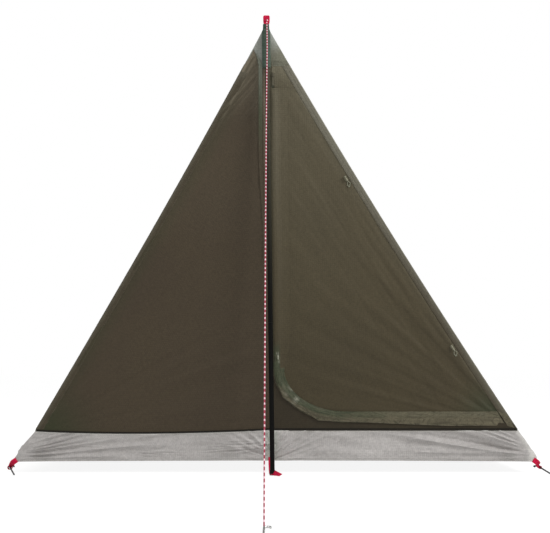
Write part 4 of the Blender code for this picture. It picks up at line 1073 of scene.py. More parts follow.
def ridge_tapes():
    """Bound seams along the four ridges: folded tape with a round back, lapped on both walls."""
    steps = 90
    low = 0.0002
    face_reach = BINDING * SIDE_RUN
    meshes = []
    for side in (-1, 1):
        out_side = side_out(side)
        for rear in (False, True):
            out_face = REAR_OUT if rear else FRONT_OUT
            inward = -1 if rear else 1
            side_reach = BINDING * (REAR_RUN if rear else 1.003)
            rings = []
            for i in range(steps + 1):
                z = mix(BAND_TOP + 0.0004, CROWN_BOTTOM - 0.0004, i / steps)
                x = ridge_x(side, z)
                y = rear_y(z) if rear else front_y(z)
                proud = 0.0008 + 0.0003 * noise.noise(Vector((z * 60, side * 2.0, 5.0 if rear else 1.0)))
                a = Vector((x - side * face_reach, y, z))
                b = Vector((x - side * 0.002, y, z))
                c = Vector((x, y + inward * 0.002, z))
                d = Vector((x, y + inward * side_reach, z))
                rings.append([
                    a + out_face * low,
                    a + out_face * proud,
                    a + (b - a) * 0.5 + out_face * proud * 1.1,
                    b + out_face * proud * 1.6 + out_side * proud * 0.6,
                    c + out_side * proud * 1.6 + out_face * proud * 0.6,
                    c + (d - c) * 0.5 + out_side * proud * 1.1,
                    d + out_side * proud,
                    d + out_side * low,
                    c - out_side * 0.0006 - out_face * 0.0006,
                ])
            meshes.append(ring_mesh(rings))
    # Painted highlight along the front ridges.
    mesh = painted(joined("ridge_tapes", meshes), ridge_painted_highlight)
    return finished("ridge_tapes", mesh, seam_finish, "tent",
                    ["ridge_binding_front_left", "ridge_binding_front_right", "ridge_binding_rear_left",
                     "ridge_binding_rear_right"])


HEM_FOLD_FORM = ((-0.0020, 0.0019), (0.0020, 0.0019), (0.0026, 0.0022), (0.0024, 0.0027), (-0.0018, 0.0029),
                 (-0.0024, 0.0024))


def canopy_hem_painted_shadow():
    """The folded hem along the canopy's lower edge, above the pale band, painted near-black as the shadow
    under the canopy's edge.
    """
    z = BAND_TOP + 0.0016
    steps = 120
    rings = []
    for i in range(steps + 1):
        x = mix(left_x(z) + 0.001, right_x(z) - 0.001, i / steps)
        wave = 0.0004 * noise.noise(Vector((x / 0.03, 2.0, 6.0)))
        rings.append([on_front(x, z + up, out + wave) for up, out in HEM_FOLD_FORM])
    return finished("canopy_hem_fold", sagged(ring_mesh(rings)), hem_shadow_finish, "tent", ())


def hem_bow(s):
    """How far the hem arches up between its pegged corners, from 0 to 1."""
    return max(math.sin(math.pi * min(max(s, 0.0), 1.0)), 0.0) ** 0.5


HEM_ARCH = 0.0035


def band_creases(near, z, seed):
    """Creases that run out of a pegged corner of the band, sharp at their crests."""
    slant = math.atan2(z - 0.040, near + 0.05)
    rays = ridged(noise.noise(Vector((slant * 9.0, near * 3.5, seed))))
    rays += 0.5 * noise.noise(Vector((slant * 17.0, near * 5.0, seed + 4)))
    return rays * smooth((near - 0.012) / 0.06) * smooth(1 - near / 0.62)


def band_painted_highlight(point):
    """Painted highlight: a paler edge along the front right ridge, and a pale line on the band's top edge
    under the canopy's hem.
    """
    if point.y > front_y(point.z) + 0.01:
        return 0.0
    ridge = 0.75 * smooth(1 - (right_x(point.z) - point.x) / 0.016)
    return max(ridge, 0.6 * smooth((point.z - BAND_TOP + 0.0075) / 0.003))


def band_tone(point):
    """Greener cloth beside the pole's foot."""
    return smooth(1 - abs(point.x + 0.010) / 0.034) * (1 if point.y < 0 else 0) * 0.9


def band_relief(wall, s, z, length):
    """How far the band's cloth stands out at a share of one wall's length. Wall 0 is the front."""
    near = min(s, 1 - s) * length
    middle = abs(s - 0.5) * length
    run = s * length
    rays = band_creases(near, z, wall * 5.0 + (0 if s < 0.5 else 2.5))
    drawn_angle = math.atan2(z - 0.02, middle + 0.03) * 6.0
    drawn = ridged(noise.noise(Vector((drawn_angle, middle * 4, wall + 30.0))))
    drawn *= smooth(1 - middle / 0.22) * (1 if wall == 0 else 0.3)
    rumple = noise.noise(Vector((run / 0.060, z / 0.030, wall * 2.0)))
    fine = noise.noise(Vector((run / 0.020, z / 0.016, wall * 3.0 + 1)))
    level = ridged(noise.noise(Vector((run / 0.11, z / 0.0085, wall + 40.0))))
    level *= smooth(noise.noise(Vector((run / 0.16, z / 0.05, wall + 50.0))) * 3)
    level *= smooth((near - 0.14) / 0.10)
    height = min(max((z - HEM_HEIGHT) / (BAND_TOP - HEM_HEIGHT), 0), 1)
    depth = (0.0125 * rays + 0.0105 * drawn + 0.0042 * rumple + 0.0020 * fine + 0.0075 * level)
    calm = (0.30 + 0.70 * math.sin(math.pi * height)) * smooth(near / 0.012) * smooth((BAND_TOP - z) / 0.008)
    return depth * calm


def foot_strap_share(x, z):
    """1 where the foot strap is sewn to the band, so that no fold stands through it."""
    return smooth(1.6 - abs(x + 0.0115) / 0.010) * smooth((0.066 - z) / 0.012)


def corner_flare(x, z, near):
    """How far the band is pulled outwards at its pegged corners."""
    if x > 0:
        flare = 0.0020 * smooth((0.12 - z) / 0.03) + 0.0130 * smooth((0.066 - z) / 0.026)
    else:
        flare = 0.0115 * smooth((0.058 - z) / 0.022)
    return flare * smooth(1 - near / 0.07)


def band_cloth():
    """The pale foot band as one round of cloth, creased towards the pegged corners."""
    rows = 40
    heights = [mix(HEM_HEIGHT - 0.0004, BAND_TOP - 0.0060, i / (rows - 1)) for i in range(rows)]
    heights += [BAND_TOP - 0.0040, BAND_TOP - 0.0024, BAND_TOP - 0.0010, BAND_TOP + 0.0005]
    counts = (420, 180, 120, 180)
    outs = (FRONT_OUT, Vector((1, 0, 0.3)).normalized(), Vector((0, 1, 0.5)).normalized(),
            Vector((-1, 0, 0.3)).normalized())
    rings = []
    for z in heights:
        corners = four_corners(z)
        hem = 0.0006 if z < HEM_HEIGHT + 0.009 else 0.0
        roll = 0.0011 * math.exp(-((z - BAND_TOP + 0.0024) / 0.0018) ** 2)
        ring = []
        for wall in range(4):
            x0, y0 = corners[wall]
            x1, y1 = corners[(wall + 1) % 4]
            length = math.hypot(x1 - x0, y1 - y0)
            for j in range(counts[wall]):
                s = j / counts[wall]
                x = mix(x0, x1, s)
                depth = band_relief(wall, s, z, length)
                if wall == 0:
                    depth *= 1 - foot_strap_share(x, z)
                flare = 0 if wall == 2 else corner_flare(x, z, min(s, 1 - s) * length)
                bow = hem_bow(s) * (1 - (z - HEM_HEIGHT) / (BAND_TOP - HEM_HEIGHT))
                ring.append(Vector((x + math.copysign(flare, x), mix(y0, y1, s), z + HEM_ARCH * bow))
                            + outs[wall] * (depth + hem + roll - 0.0007 * bow))
        rings.append(ring)
    inner = []
    total = len(rings[0])
    for ring in rings[::-1]:
        line = []
        for j in range(total):
            run = ring[(j + 1) % total] - ring[j - 1]
            inward = Vector((-run.y, run.x, 0)).normalized()
            line.append(ring[j] + inward * BAND_CLOTH)
        inner.append(line)
    # Greener tone beside the pole's foot, and painted highlights on the band's right edge and top edge.
    mesh = painted(painted(ring_mesh(rings + inner, closed=True), band_tone), band_painted_highlight, "painted_light")
    return finished("band_cloth", sagged(mesh), band_finish, "tent",
                    ["band_front", "band_left", "band_right", "band_rear"])


def groundsheet_cloth():
    """The floor: flat on the ground in its middle, with a border that rises gently to the band's hem."""
    reach_x = half_width(HEM_HEIGHT) - 0.0018
    front, rear = FRONT_Y + 0.0018, REAR_Y - 0.0040
    border = 0.500

    def place(s, t):
        x = mix(-reach_x, reach_x, s)
        y = mix(front, rear, t)
        edge = min(x + reach_x, reach_x - x, y - front, rear - y)
        by_front_or_rear = min(t, 1 - t) * 2.4 < min(s, 1 - s) * 1.45
        arch = HEM_ARCH * hem_bow(s if by_front_or_rear else t)
        lift = (HEM_HEIGHT + arch) * max(1 - edge / border, 0)
        rumple = 0.0012 * max(noise.noise(Vector((x * 9, y * 9, 21.0))) + 0.3, 0) * smooth(edge / 0.05)
        return Vector((x, y, lift + rumple))

    mesh = cloth_shell(grid(190, 130, place), -FLOOR_CLOTH, Vector((0, 0, 1)))
    return finished("groundsheet_cloth", mesh, floor_finish, "tent", ["groundsheet"])


# Zip and storm flap

def zip_points(top, spacing=0.010):
    """Points, door-side normals and shares of the bend: down the zip, round it and along the sill."""
    line = []
    end_x = door_edge_x(ZIP_SILL + 0.0131) - GAP
    steps = int((top - ZIP_BEND) / spacing)
    for i in range(steps):
        z = mix(top, ZIP_BEND, i / steps)
        run = Vector((zip_x(z - 0.01) - zip_x(z), -0.01)).normalized()
        line.append((Vector((zip_x(z), z)), Vector((-run.y, run.x)), 0.0))
    steps = 24
    for i in range(steps + 1):
        turn = math.pi / 2 * i / steps
        base = bend_point(turn, 0)
        line.append((base, (bend_point(turn, 1) - base), i / steps))
    cx = bend_centre()[0]
    steps = int((end_x - cx) / spacing)
    for i in range(1, steps + 1):
        line.append((Vector((mix(cx, end_x, i / steps), ZIP_SILL)), Vector((0, 1)), 1.0))
    return line


def along_zip(line, profile_at):
    """A skin that carries one profile, in offsets towards the door and outwards, along the zip."""
    rings = []
    for i, (point, normal, share) in enumerate(line):
        places = [(point + normal * s, n) for s, n in profile_at(share, i)]
        rings.append([on_front(place.x, place.y, n) for place, n in places])
    return ring_mesh(rings)


FLAP_CREST = 0.0078
FLAP_RAMP = 0.040
FLAP_EDGE = ((-0.0062, 0.320), (-0.0043, 0.2929), (0.0227, 0.2081), (0.0425, 0.1968), (0.1217, 0.1462),
             (0.6699, 0.1238))
FLAP_UPRIGHT_FORM = ((1.0, 0.03), (0.75, 0.12), (0.50, 0.30), (0.30, 0.60), (0.16, 0.90), (0.06, 1.0),
                     (-0.3, 1.0), (-0.7, 0.85), (-0.92, 0.48), (-1.0, 0.24))
FLAP_SILL_FORM = ((1.0, 0.05), (0.82, 0.30), (0.64, 0.62), (0.45, 0.86), (0.25, 0.98), (0.08, 1.0),
                  (-0.3, 0.98), (-0.7, 0.84), (-0.92, 0.66), (-1.0, 0.54))


def folded_edge(point, normal):
    """Offset of the flap's folded edge, which runs straight between a few stiff corners."""
    for (ax, az), (bx, bz) in zip(FLAP_EDGE, FLAP_EDGE[1:]):
        run_x, run_z = bx - ax, bz - az
        area = normal.x * run_z - normal.y * run_x
        if abs(area) < 1e-9:
            continue
        away = ((ax - point.x) * run_z - (az - point.y) * run_x) / area
        place = ((ax - point.x) * normal.y - (az - point.y) * normal.x) / area
        if 0 <= place <= 1 and away < 0:
            return min(max(-away, 0.0076), 0.0185)
    return None


def flap_wrinkle(d, s):
    """Creases that run along the folded edge, with a few short puckers across it."""
    along = noise.noise(Vector((d / 0.055, s / 0.0042, 2.0)))
    across = noise.noise(Vector((d / 0.011, s / 0.020, 4.0)))
    return along + 0.5 * across


def form_height(form, place):
    """Height share of the flap's form at a place from -1 (folded edge) to 1 (seam)."""
    for (u1, high1), (u0, high0) in zip(form, form[1:]):
        if u0 <= place <= u1:
            return mix(high0, high1, (place - u0) / (u1 - u0))
    return form[-1][1]


def edge_gap(point):
    """Distance from a place on the flap to its folded edge."""
    place = Vector((point.x, point.z))
    gaps = []
    for a, b in zip(FLAP_EDGE, FLAP_EDGE[1:]):
        a, b = Vector(a), Vector(b)
        share = min(max((place - a).dot(b - a) / (b - a).length_squared, 0), 1)
        gaps.append((place - a.lerp(b, share)).length)
    return min(gaps)


def left_of_leaf(point):
    """1 below the zip's bend. Above it, 1 on the flap's outer part and 0 towards the leaf."""
    return smooth((0.0165 - point.x) / 0.006) if point.z > ZIP_BEND else 1.0


def flap_pale_strip_and_edge_highlight(point):
    """The strip round the bend and along the sill is paler than the leaf, and its folded edge is painted
    paler still, as a highlight.
    """
    share = smooth((0.350 - point.z) / 0.03) * left_of_leaf(point)
    return share * mix(0.55, 0.85, smooth(1 - edge_gap(point) / 0.0045))


def flap_green(point):
    """Greener cloth beside the pole's foot and along the strip's inner half, in streaks."""
    inner = smooth((point.z - bend_height(max(point.x, 0.0), -0.002)) / 0.012) if point.z < 0.24 else 1.0
    beside = smooth((point.z - 0.235) / 0.03)
    streaks = noise.noise(Vector((point.x * 26, point.z * 170 + point.x * 30, 5.0)))
    share = smooth((0.375 - point.z) / 0.04) * left_of_leaf(point)
    share *= mix(0.15 + 0.75 * inner, 1.0, beside) + 0.5 * streaks
    return share * mix(1.0, 0.25, smooth((point.x - 0.16) / 0.24))


def flap_painted_highlight(point):
    """Painted highlights: bright spots on the puckers beside the pole, where the strip is gathered, and thin
    bright streaks on the strip round the bend.
    """
    spots = noise.noise(Vector((point.x / 0.0035, point.z / 0.0075, 3.0)))
    spots *= smooth(1 - abs(point.z - 0.325) / 0.022) * smooth(1 - abs(point.x - 0.0085) / 0.009)
    thin = noise.noise(Vector(((point.x - point.z) / 0.003, (point.x + point.z) / 0.03, 6.0)))
    thin *= smooth(1 - math.hypot(point.x - 0.045, point.z - 0.205) / 0.055)
    return 2.2 * max(spots - 0.02, 0) + 0.8 * max(thin - 0.05, 0)


def storm_flap():
    """The arched flap: a soft ramp beside the upright zip, a stiff crumpled strip round the bend."""
    line = zip_points(DOOR_TOP - GAP, 0.005)
    end_x = line[-1][0].x
    shear_from = end_x - 0.080

    def profile(share, i):
        point, normal, _ = line[i]
        blend = smooth(share * 1.3)
        inner = mix(FLAP_RAMP, FLAP_IN, smooth((0.37 - point.y) / 0.09))
        outer = folded_edge(point, normal) or mix(FLAP_OUT[0], FLAP_OUT[1], share)
        outer = mix(FLAP_OUT[0], outer, smooth((0.315 - point.y) / 0.02))
        seat = point + normal * inner
        low = door_lift(seat.x, seat.y) + mix(0.0002, 0.0008, blend)
        ended = smooth((DOOR_TOP - point.y) / 0.030) if share == 0 else 1.0
        hinged = smooth((end_x - point.x - 0.010) / 0.060)
        crest = FLAP_CREST * mix(0.45, 1.0, ended) * mix(0.06, 1.0, hinged)
        crumple = mix(0.25, 1.0, smooth((0.36 - point.y) / 0.03)) * mix(1.0, 0.65, smooth(point.x / 0.3))
        pucker = 0.0018 * smooth(1 - abs(point.y - 0.325) / 0.032) * (1 if share < 0.5 else 0)
        under, over = [], []
        for k in range(27):
            u = 1 - 2 * k / 26 if k > 12 else 1 - (k / 13) ** 0.9
            rise_share = mix(form_height(FLAP_UPRIGHT_FORM, u), form_height(FLAP_SILL_FORM, u), blend)
            s = u * inner if u > 0 else u * outer
            n = mix(low, 0.0, smooth(1 - max(u, 0.0))) + crest * rise_share
            wrinkle = 0.0011 * crumple * flap_wrinkle(point.x * 1.3 - point.y, s)
            wrinkle += pucker * noise.noise(Vector((point.y / 0.006, s / 0.009, 8.0)))
            wrinkle *= smooth((1 - abs(u)) * 3)
            under.append((s, n + wrinkle))
            over.append((s, n + wrinkle + mix(CANOPY_CLOTH, 0.0002, (1 - blend) * smooth((u - 0.6) / 0.4))))
        rim = [(under[-1][0] - 0.0004, under[-1][1] + CANOPY_CLOTH / 2)]
        return under + rim + over[::-1]

    mesh = along_zip(line, profile)
    for vertex in mesh.vertices:
        place = vertex.co
        if place.x > shear_from and place.z < 0.2:
            limit = door_edge_x(place.z) - 0.0016
            place.x = mix(shear_from, limit, (place.x - shear_from) / (end_x - shear_from))
    # Painted light: the flap's upright part is paler towards the top, like the leaf.
    painted(mesh, door_painted_light)
    # Paler strip round the bend, with a painted highlight on its folded edge.
    painted(mesh, flap_pale_strip_and_edge_highlight, "low")
    painted(mesh, flap_green, "green")
    # Painted highlights on the flap's puckers.
    painted(mesh, flap_painted_highlight, "painted_light")
    return finished("storm_flap_cloth", mesh, flap_finish, "door", ["storm_flap"])


def storm_flap_end():
    """The flap's fixed end, from the door's sewn side over the binding to the front's lower corner."""
    end = Vector((0.6660, 0.1405))
    rings = []
    for i in range(13):
        t = i / 12
        z = mix(ZIP_SILL, end.y, t)
        top, bottom = mix(FLAP_IN, 0.0215, t), mix(-0.0200, -0.0160, t)
        arch = mix(0.0010, 0.0008, t)
        under = []
        for u in (1.0, 0.7, 0.35, 0.0, -0.4, -0.8, -1.0):
            s = top * u if u > 0 else -bottom * u
            puff = math.sqrt(max(1 - u * u, 0))
            under.append((s, 0.0016 + arch * puff + 0.0003 * flap_wrinkle(0.64 + t * 0.03, s)))
        ring = under + [(s, n + CANOPY_CLOTH) for s, n in reversed(under)]
        made = []
        for s, n in ring:
            x = mix(door_edge_x(z + s) + 0.0012, end.x + (right_x(z + s) - right_x(z)) * 0.7, t)
            made.append(on_front(min(x, right_x(z + s) - 0.0006), z + s, n))
        rings.append(made)
    # Paler strip with a painted highlight on its folded edge, and greener streaks.
    mesh = painted(painted(ring_mesh(rings), flap_pale_strip_and_edge_highlight, "low"), flap_green, "green")
    return finished("storm_flap_end", mesh, flap_finish, "tent", ())


def zip_guard():
    """A strip of cloth on the inside, behind the zip's upper end."""
    def place(s, t):
        z = mix(DOOR_TOP + 0.0008, CROWN_BOTTOM - 0.0010, t)
        back = smooth((z - 1.0870) / 0.0070)
        half = mix(0.0026, 0.0115, back)
        return on_front(zip_x(z) + mix(-half, half, s), z, mix(-0.0012, -0.0044, back))

    # Painted light: the guard is painted paler, to lift the deep shade behind the zip.
    mesh = cloth_shell(grid(70, 9, place), CANOPY_CLOTH, FRONT_OUT, lambda p: 0.3)
    finished("zip_guard_cloth", mesh, strip_finish, "tent", ())


def tape_profile(sign):
    """The tape's cut on one side of the zip: flat, with a slight wave along its length."""
    def profile(_, i):
        wave = 0.0002 * math.sin(i * 0.9)
        flat = ((0.0031, -0.0010), (0.0128, -0.0010), (0.0130, -0.0005), (0.0128, wave),
                (0.0040, wave + 0.0001), (0.0031, 0.0001))
        return [(s * sign, n) for s, n in flat]
    return profile


def zip_tapes():
    for name, top, sign, body in (("fixed", CROWN_BOTTOM - GAP, -1, "tent"), ("door", DOOR_TOP, 1, "door")):
        mesh = along_zip(zip_points(top), tape_profile(sign))
        finished("zip_tape_%s_weave" % name, mesh, tape_finish, body, ["zip_tape_" + name])


# Stitches and zip teeth, by Geometry Nodes

def along_curve_tree(name, unit, finish):
    """Geometry nodes that set copies of one small part along lines of points at even steps."""
    tree = bpy.data.node_groups.new(name, "GeometryNodeTree")
    tree.is_modifier = True
    for label, way, kind in (("Path", "INPUT", "Geometry"), ("Spacing", "INPUT", "Float"),
                             ("Size", "INPUT", "Float"), ("Parts", "OUTPUT", "Geometry")):
        tree.interface.new_socket(label, in_out=way, socket_type="NodeSocket" + kind)

    def step(kind, **settings):
        made = tree.nodes.new(kind)
        for key, value in settings.items():
            setattr(made, key, value)
        return made

    start = step("NodeGroupInput")
    end = step("NodeGroupOutput")
    curve = step("GeometryNodeMeshToCurve")
    spaced = step("GeometryNodeResampleCurve", mode="LENGTH")
    tangent = step("GeometryNodeInputTangent")
    keep = step("GeometryNodeCaptureAttribute")
    keep.capture_items.new("VECTOR", "tangent")
    facing = step("GeometryNodeInputNamedAttribute", data_type="FLOAT_VECTOR")
    facing.inputs["Name"].default_value = "facing"
    turn = step("FunctionNodeAxesToRotation", primary_axis="X", secondary_axis="Z")
    part = step("GeometryNodeObjectInfo")
    part.inputs["Object"].default_value = unit
    copies = step("GeometryNodeInstanceOnPoints")
    solid = step("GeometryNodeRealizeInstances")
    paint = step("GeometryNodeSetMaterial")
    paint.inputs["Material"].default_value = finish
    for giver, output, taker, entry in (
        (start, "Path", curve, "Mesh"),
        (curve, "Curve", spaced, "Curve"),
        (start, "Spacing", spaced, "Length"),
        (spaced, "Curve", keep, 0),
        (tangent, "Tangent", keep, "tangent"),
        (keep, 0, copies, "Points"),
        (part, "Geometry", copies, "Instance"),
        (keep, "tangent", turn, "Primary Axis"),
        (facing, "Attribute", turn, "Secondary Axis"),
        (turn, "Rotation", copies, "Rotation"),
        (start, "Size", copies, "Scale"),
        (copies, "Instances", solid, "Geometry"),
        (solid, "Geometry", paint, "Geometry"),
        (paint, "Geometry", end, "Parts"),
    ):
        tree.links.new(giver.outputs[output], taker.inputs[entry])
    return tree


def unit_part(name, rings):
    """A small hidden part that the geometry nodes copy."""
    part = placed(name, ring_mesh(rings))
    part.hide_render = True
    return part


def stitch_unit():
    """One stitch: a short bar that dips at its two ends."""
    half, thick = 0.0018, 0.0004
    rings = []
    for x, size, lift in ((-half, 0.35, -0.0002), (-half * 0.55, 1.0, 0.0001), (half * 0.55, 1.0, 0.0001),
                          (half, 0.35, -0.0002)):
        rings.append([Vector((x, thick * size * math.cos(a), lift + thick * size * math.sin(a)))
                      for a in (math.pi / 4, 3 * math.pi / 4, 5 * math.pi / 4, 7 * math.pi / 4)])
    return unit_part("stitch_unit", rings)


def tooth_unit():
    """One turn of the zip's coil: a rounded bar set slantwise."""
    rings = []
    for reach, size in ((0.0007, 0.5), (0.0010, 1.0), (0.0026, 1.0), (0.0029, 0.5)):
        slant = (reach - 0.0018) * 0.12
        rings.append([Vector((0.00055 * size * c + slant, reach, -0.0004 + 0.0010 * size * s))
                      for c, s in once_round(6)])
    return unit_part("tooth_unit", rings)


def set_along(name, lines, tree, spacing, body, replaces=()):
    """Run the tree on lines given as lists of (point, facing), and keep the result as a plain mesh."""
    mesh = bpy.data.meshes.new(name + "_path")
    verts = [point for line in lines for point, _ in line]
    facings = [facing for line in lines for _, facing in line]
    edges = []
    first = 0
    for line in lines:
        edges += [(k, k + 1) for k in range(first, first + len(line) - 1)]
        first += len(line)
    mesh.from_pydata(verts, edges, [])
    layer = mesh.attributes.new("facing", "FLOAT_VECTOR", "POINT")
    layer.data.foreach_set("vector", [c for f in facings for c in f])
    holder = placed(name + "_path", mesh)
    modifier = holder.modifiers.new("parts", "NODES")
    modifier.node_group = tree
    sizes = {"Spacing": spacing, "Size": 1.0}
    for item in tree.interface.items_tree:
        if item.name in sizes:
            modifier[item.identifier] = sizes[item.name]
    evaluated = holder.evaluated_get(bpy.context.evaluated_depsgraph_get())
    made = bpy.data.meshes.new_from_object(evaluated)
    holder.modifiers.remove(modifier)
    bpy.data.objects.remove(holder)
    paint = next(n for n in tree.nodes if n.bl_idname == "GeometryNodeSetMaterial")
    return finished(name, made, paint.inputs["Material"].default_value, body, replaces)


def evenly(low, high, steps):
    return [mix(low, high, i / steps) for i in range(steps + 1)]


def up_front(x_of_z, low, high, lift, steps):
    """A line of stitches up the front, at an x that may change with the height."""
    return [(on_front(x_of_z(z), z, lift), FRONT_OUT) for z in evenly(low, high, steps)]


def up_ridge(side, y_of_z, out, inset=0.0):
    """A line of stitches up a ridge's tape, a little outside the wall that it is sewn to."""
    line = []
    for z in evenly(SEAM_LOW, SEAM_HIGH, 60):
        line.append((Vector((ridge_x(side, z) - side * inset, y_of_z(z), z)) + out * 0.0013, out))
    return line


def bar_tack(side):
    """The boxed cross that holds a corner strap on the band."""
    low, high = (0.640, 0.034), (0.672, 0.052)
    corners = {"a": low, "b": (low[0], high[1]), "c": high, "d": (high[0], low[1])}
    route = [corners[k] for k in "abcdacdb"]
    line = []
    for (x0, z0), (x1, z1) in zip(route, route[1:]):
        for i in range(6):
            line.append((on_front(side * mix(x0, x1, i / 6), mix(z0, z1, i / 6), 0.0052), FRONT_OUT))
    return line


def stitching():
    """Rows of stitches along every seam, in dark thread on the canopy and pale on the band."""
    unit = stitch_unit()
    dark = along_curve_tree("dark_stitches", unit, thread_finish)
    green = along_curve_tree("green_stitches", unit, green_thread_finish)
    pale = along_curve_tree("pale_stitches", unit, pale_thread_finish)
    head_lines = []
    for z in (1.1455, 1.1500, 1.1545):
        xs = evenly(-0.0100, right_x(z) - 0.002, 12)
        head_lines.append([(on_front(x, z, 0.0022), FRONT_OUT) for x in xs])
    head_lines.append(up_front(lambda z: tongue_edge(z) + 0.0010, 1.010, 1.172, 0.0042, 30))
    set_along("head_stitches", head_lines, green, 0.0040, "tent")

    tent_lines = []
    for inset in (0.0035, 0.0100, 0.0195):
        tent_lines.append(up_front(lambda z: left_x(z) + inset, SEAM_LOW, SEAM_HIGH, 0.0012, 60))
        tent_lines.append(up_front(lambda z: right_x(z) - inset, SEAM_LOW, SEAM_HIGH, 0.0012, 60))
    for side in (-1, 1):
        for inset in (0.004, 0.017):
            tent_lines.append(up_ridge(side, lambda z: front_y(z) + inset, side_out(side)))
        for inset in (0.010, 0.040):
            tent_lines.append(up_ridge(side, lambda z: rear_y(z) - inset, side_out(side)))
        for inset in (0.004, 0.019):
            tent_lines.append(up_ridge(side, rear_y, REAR_OUT, inset))
    set_along("canopy_stitches", tent_lines, dark, 0.0052, "tent")

    band_lines = []
    for z, lift, sag in ((HEM_HEIGHT + 0.008, 0.0030, 0.0), (BAND_TOP - 0.0055, 0.0016, 0.94)):
        xs = evenly(left_x(z) + 0.01, right_x(z) - 0.01, 80)
        band_lines.append([(on_front(x, z - sag * hem_sag(x), lift), FRONT_OUT) for x in xs])
    for x in (0.0056, 0.0169, -0.0350):
        band_lines.append(up_front(lambda z: x, 0.036, 0.114, 0.0022, 20))
    band_lines += [bar_tack(-1), bar_tack(1)]
    set_along("band_stitches", band_lines, pale, 0.0052, "tent")


def teeth():
    """Both rows of the zip's coil. The door's row is wound from the sill upwards."""
    coil = along_curve_tree("zip_teeth_turns", tooth_unit(), teeth_finish)
    for name, top, body in (("fixed", CROWN_BOTTOM - 0.0045, "tent"), ("door", DOOR_TOP - GAP, "door")):
        line = [(on_front(point.x, point.y), FRONT_OUT) for point, _, _ in zip_points(top)]
        if name == "door":
            line.reverse()
        set_along("zip_teeth_%s_coil" % name, [line], coil, 0.0019, body, ["zip_teeth_" + name])


# Crown, sleeve and webbing

def crown_centre():
    return Vector((CROWN_SHIFT, front_y(CROWN_HEIGHT) + CROWN_DEPTH / 2, CROWN_HEIGHT))


def crown_webbing():
    """Teal webbing that gathers the peak: a pinched neck and a sheath round the red loop's two plies."""
    centre = crown_centre()
    rings = []
    for up, half_x, half_y in ((0.0003, 0.0112, 0.0148), (0.004, 0.0105, 0.0126), (0.008, 0.0097, 0.0104),
                               (0.012, 0.0090, 0.0090), (0.018, 0.0087, 0.0085), (0.0238, 0.0087, 0.0084),
                               (0.0244, 0.0083, 0.0080)):
        ring = []
        for k in range(32):
            a = 2 * math.pi * k / 32
            c, s = math.cos(a), math.sin(a)
            x = math.copysign(abs(c) ** 0.45, c) * half_x
            y = math.copysign(abs(s) ** 0.45, s) * half_y
            pleat = 1 - 0.05 * math.sin(a * 6) * (1 - up / 0.03)
            ring.append(centre + Vector((x * pleat, y * pleat, up)))
        rings.append(ring)
    mesh = ring_mesh(rings)
    finished("crown_webbing_folded", mesh, teal_finish, "tent", ["crown_webbing"])


def apex_loop():
    """The red loop out of the sheath, its webbing face towards the front, drawn in at the cord."""
    half_webbing = 0.0009
    centre = crown_centre() + Vector((0.0011, 0, 0))
    radius = 0.0055 + GAP + half_webbing
    low = centre.z + 0.0246
    round_z = centre.z + 0.051 - radius - half_webbing
    path = [Vector((centre.x, centre.y - radius, mix(low, round_z, i / 6))) for i in range(6)]
    for i in range(17):
        turn = math.pi * (1 - i / 16)
        path.append(Vector((centre.x, centre.y + radius * math.cos(turn), round_z + radius * math.sin(turn))))
    path += [Vector((centre.x, centre.y + radius, mix(round_z, low, i / 6))) for i in range(1, 7)]
    rings = strap_rings(path, Vector((1, 0, 0)), 0.0182, 0.0017)
    for point, ring in zip(path, rings):
        share = mix(0.74, 1.0, smooth((point.z - low) / 0.009))
        share *= mix(1.0, 0.80, smooth((point.z - 1.2835) / 0.005))
        for corner in ring:
            corner.x = centre.x + (corner.x - centre.x) * share + 0.0004 * noise.noise(corner * 90)
    finished("apex_loop_webbing", ring_mesh(rings), red_finish, "tent", ["apex_loop"])


def sleeve_ring(z, wide, deep, rumple=0.0):
    """One cut through the sleeve, wider to the left of the pole than to its right."""
    made = []
    for c, s in once_round(28):
        x = c * (wide * 1.18 if c < 0 else wide * 0.84) if wide > 0.0075 else wide * c
        y = deep * math.copysign(abs(s) ** 1.25, s)
        fold = rumple * noise.noise(Vector((c * 2.5, s * 2.5, z * 70)))
        made.append(Vector((pole_x(z) + x * (1 + fold), pole_y() + y * (1 + fold), z)))
    return made


def pole_sleeve():
    """The sock over the pole's top: a flat tube of webbing, sewn shut above the pole."""
    low, high = 1.1328, 1.2368
    steps = 26
    rings = [sleeve_ring(high + 0.0002, 0.0071, 0.0071), sleeve_ring(low, 0.0072, 0.0072)]
    for i in range(steps + 1):
        rumple = 0.05 * smooth(i / 4) * smooth((steps - i) / 4)
        rings.append(sleeve_ring(mix(low, high, i / steps), 0.0116, 0.0083, rumple))
    rings.append(sleeve_ring(high + 0.0035, 0.0102, 0.0072))
    rings.append(sleeve_ring(high + 0.0056, 0.0080, 0.0055))
    finished("pole_sleeve_sock", ring_mesh(rings), sleeve_finish, "tent", ["pole_sleeve"])


EYE_HEIGHT = 0.013
EYE_REACH = 0.0255
EYE_DEPTH = 0.015
PEG_RADIUS = 0.00225
PEG_REACH = 0.140
FRONT_PEG_TURN = {-1: 16.5, 1: 3.0}
PLY_HALF_SPACE = 0.0008


def eye_radius(turn):
    """Radius of a corner strap's bend round a peg that crosses it at an angle."""
    drop = math.asin((EYE_HEIGHT - PEG_RADIUS) / PEG_REACH)
    lean = EYE_DEPTH / 2 * math.hypot(math.tan(turn), math.tan(drop))
    return (PEG_RADIUS / math.cos(turn) + lean + 0.0003) / math.cos(math.pi / 14) + 0.00065


